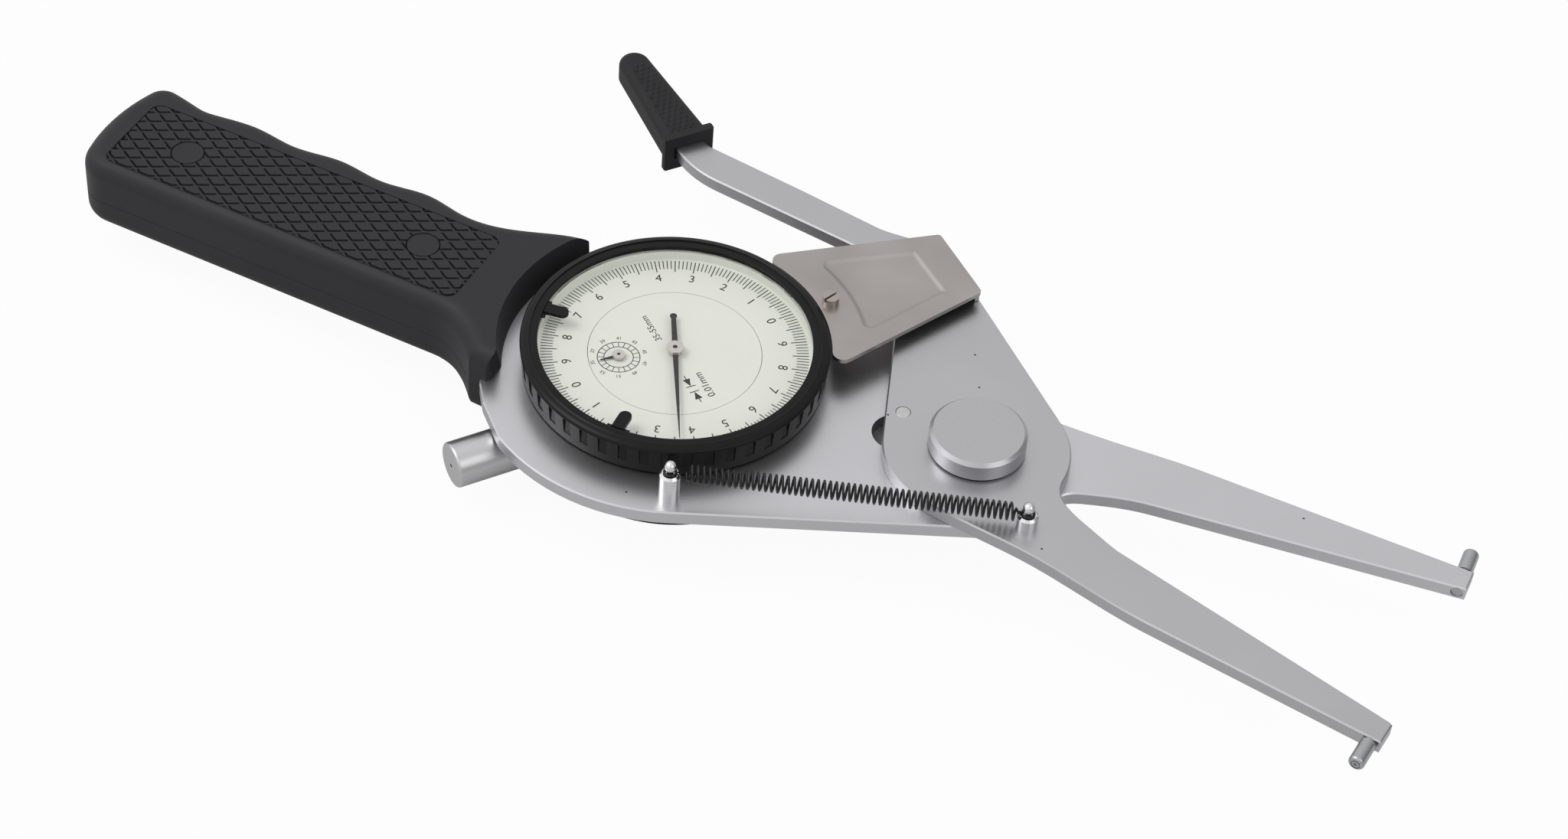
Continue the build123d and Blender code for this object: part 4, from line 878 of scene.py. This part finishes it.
def hoop(centre, radius, width, sides):
    """A thin ring of ink: four corner circles joined round a centre."""
    turn = np.linspace(0, 2 * math.pi, sides, endpoint=False)[:, None]
    reach = radius + np.array([-0.5, 0.5, 0.5, -0.5]) * width
    level = np.broadcast_to(np.repeat(ink_levels, 2), (sides, 4))
    ring = [centre[0] + reach * np.cos(turn), centre[1] + reach * np.sin(turn), level]
    return np.stack(ring, -1).reshape(-1, 3), turned(grid_faces(sides, 4, True, True))


def words(text, height, centre, up_turn):
    """Printed letters as a mesh: the text's outline, raised, centred on a place and turned so that
    its top points at an angle. Its height is that of a capital."""
    curve = bpy.data.curves.new("words", "FONT")
    curve.body, curve.align_x, curve.align_y = text, "CENTER", "CENTER"
    curve.extrude, curve.resolution_u = letter_extrude, letter_steps
    holder = bpy.data.objects.new("words", curve)
    bpy.context.scene.collection.objects.link(holder)
    bpy.context.view_layer.update()
    drawn = bpy.data.meshes.new_from_object(holder)
    shell = bmesh.new()
    shell.from_mesh(drawn)
    bmesh.ops.remove_doubles(shell, verts=shell.verts, dist=letter_join)
    bmesh.ops.recalc_face_normals(shell, faces=shell.faces)
    shell.to_mesh(drawn)
    shell.free()
    flat = np.empty(len(drawn.vertices) * 3)
    drawn.vertices.foreach_get("co", flat)
    flat = flat.reshape(-1, 3)
    faces = [list(face.vertices) for face in drawn.polygons]
    bpy.data.objects.remove(holder)
    bpy.data.meshes.remove(drawn)
    middle = (flat.max(0) + flat.min(0)) / 2
    size = height / capital_share
    up = around(1.0, up_turn)
    right = np.array([up[1], -up[0]])
    across, rise = (flat[:, :1] - middle[0]) * size, (flat[:, 1:2] - middle[1]) * size
    level = np.where(flat[:, 2:] > middle[2], ink_levels[1], ink_levels[0])
    return np.concatenate([np.array(centre) + across * right + rise * up, level], 1), faces


def together(parts):
    """Several lots of points and faces as one."""
    points, faces, count = [], [], 0
    for some, sides in parts:
        points.append(some)
        faces += [[corner + count for corner in side] for side in sides]
        count += len(some)
    return np.concatenate(points), faces


# The scale: 200 marks, every fifth one longer, and the numbers 0 to 9 twice round
scale_zero, mark_step, number_step = 45.84, 1.8, 18.0
mark_count, number_count, fifth = 200, 20, 5
mark_outside, mark_inside, long_inside = 22.85, 20.8, 20.07
mark_width, long_width = 0.155, 0.18
number_height, number_radius = 1.75, 18.6
mark = np.arange(mark_count)
is_long = mark % fifth == 0
mark_way = around(1.0, scale_zero + mark_step * mark)
mark_near = mark_way * np.where(is_long, long_inside, mark_inside)[:, None]
marks = [bars(mark_near, mark_way * mark_outside, np.where(is_long, long_width, mark_width))]
number_turns = [scale_zero + number_step * k for k in range(number_count)]
numbers = [
    words(str(k % 10), number_height, around(number_radius, number_turn), number_turn)
    for k, number_turn in enumerate(number_turns)
]
points, faces = together(marks + numbers)
new_piece("scale_print", points, faces, ink, "bezel")

# The small counter: 20 marks between two rings, with the bore in steps of 2 mm round them
counter_x, counter_y = -8.53, -4.54
counter_middle = np.array([counter_x, counter_y])
counter_zero, counter_step, counter_marks = 218.0, 18.0, 20
counter_outside, counter_inside, hoop_width, counter_width = 3.63, 2.50, 0.14, 0.12
label_first, label_step, label_count = 35, 2, 10
label_height, label_radius, label_turn = 0.72, 4.62, 36.0
counter_way = around(1.0, counter_zero + counter_step * np.arange(counter_marks))
inner_print = [
    hoop(counter_middle, counter_outside, hoop_width, 64),
    hoop(counter_middle, counter_inside, hoop_width, 48),
    bars(
        counter_middle + counter_way * counter_inside,
        counter_middle + counter_way * counter_outside,
        counter_width,
    ),
]
for k in range(label_count):
    here_turn = counter_zero - label_turn * k
    here = counter_middle + around(label_radius, here_turn)
    inner_print.append(words(str(label_first + label_step * k), label_height, here, here_turn))

# The interval, the range, and the sign of two arrows that point at two bars
text_up, text_right = 224.5, 134.5
inner_print += [
    words("0.01mm", 1.38, (7.2, -5.5), text_up),
    words("35-55mm", 1.25, (-5.7, 4.1), text_up),
]
right, up = around(1.0, text_right), around(1.0, text_up)
sign = np.array([5.65, -7.25])
bar_out, bar_half, bar_width = 0.67, 0.85, 0.17
arrow_tip, arrow_long, arrow_half = 0.75, 1.75, 0.66
tail_out, tail_width = 3.35, 0.15
for side in (-1, 1):
    bar_middle = sign + right * side * bar_out
    tip = sign + right * side * arrow_tip
    tail = sign + right * side * tail_out
    neck = tip + right * side * arrow_long
    inner_print.append(bars(bar_middle - up * bar_half, bar_middle + up * bar_half, bar_width))
    inner_print.append(bars(neck, tail, tail_width))
    wedge = np.array([tip, neck + up * arrow_half, neck - up * arrow_half])[::side]
    wedge = np.concatenate([np.insert(wedge, 2, level, 1) for level in ink_levels])
    wedge_faces = [[0, 1, 2], [5, 4, 3], [0, 3, 4, 1], [1, 4, 5, 2], [2, 5, 3, 0]]
    inner_print.append((wedge, wedge_faces))
points, faces = together(inner_print)
new_piece("inner_print", points, faces, ink, "root")


# Pointers: thin blades stamped from steel and blacked, each riveted to a bright hub. The end of
# the arbor shows as a small dark spot in the hub's middle.
def pointer_finish(name, x, y, hub_radius, spot_radius):
    """Black blade outside a hub radius round an upright axis, bright steel inside it."""
    blade = Finish(name)
    rub, away = blade.noise(0.5), blade.from_axis(x, y)
    in_hub = away.maths("LESS_THAN", away, hub_radius)
    on_hub = in_hub * away.maths("GREATER_THAN", away, spot_radius)
    black = blade.mix(rub, (0.020, 0.020, 0.021), (0.040, 0.040, 0.042))
    return blade.surface(
        Base_Color=blade.mix(on_hub, black, (0.62, 0.585, 0.56)),
        Metallic=on_hub * 0.6 + 0.4,
        Roughness=rub * 0.15 + 0.28,
    )


dress(pointer_finish("pointer_steel", 0.0, 0.0, 1.6, 0.42), "main_pointer", "pointer_hub")
dress(pointer_finish("counter_steel", counter_x, counter_y, 1.12, 0.30), "small_pointer")


# Crystal: a flat clear disc of acrylic held under the lip of the bezel. Faint wiping marks are
# all that shows of it.
clear = Finish("crystal_glass")
wipe = clear.noise(8.0)
clear.surface(
    Base_Color=(0.3, 0.3, 0.3),
    Roughness=wipe * 0.03 + 0.02,
    Alpha=wipe * 0.015 + 0.01,
)
dress(clear, "crystal")


# Movement: plates, wheels and pillars of fine brass inside the case, brushed one way and
# screwed together.
brass = bare_metal(
    "movement_brass",
    grain_mm=0.4,
    dark=(0.66, 0.48, 0.20),
    light=(0.78, 0.60, 0.29),
    shine=0.22,
    spread=0.15,
    depth_mm=0.004,
    stretch=(1.0, 0.15, 1.0),
)
dress(brass, "movement_plate_lower", "movement_plate_upper", "movement_pillars", "dial_feet")
dress(brass, "rack_wheel", "counter_wheel", "rack_bridge")
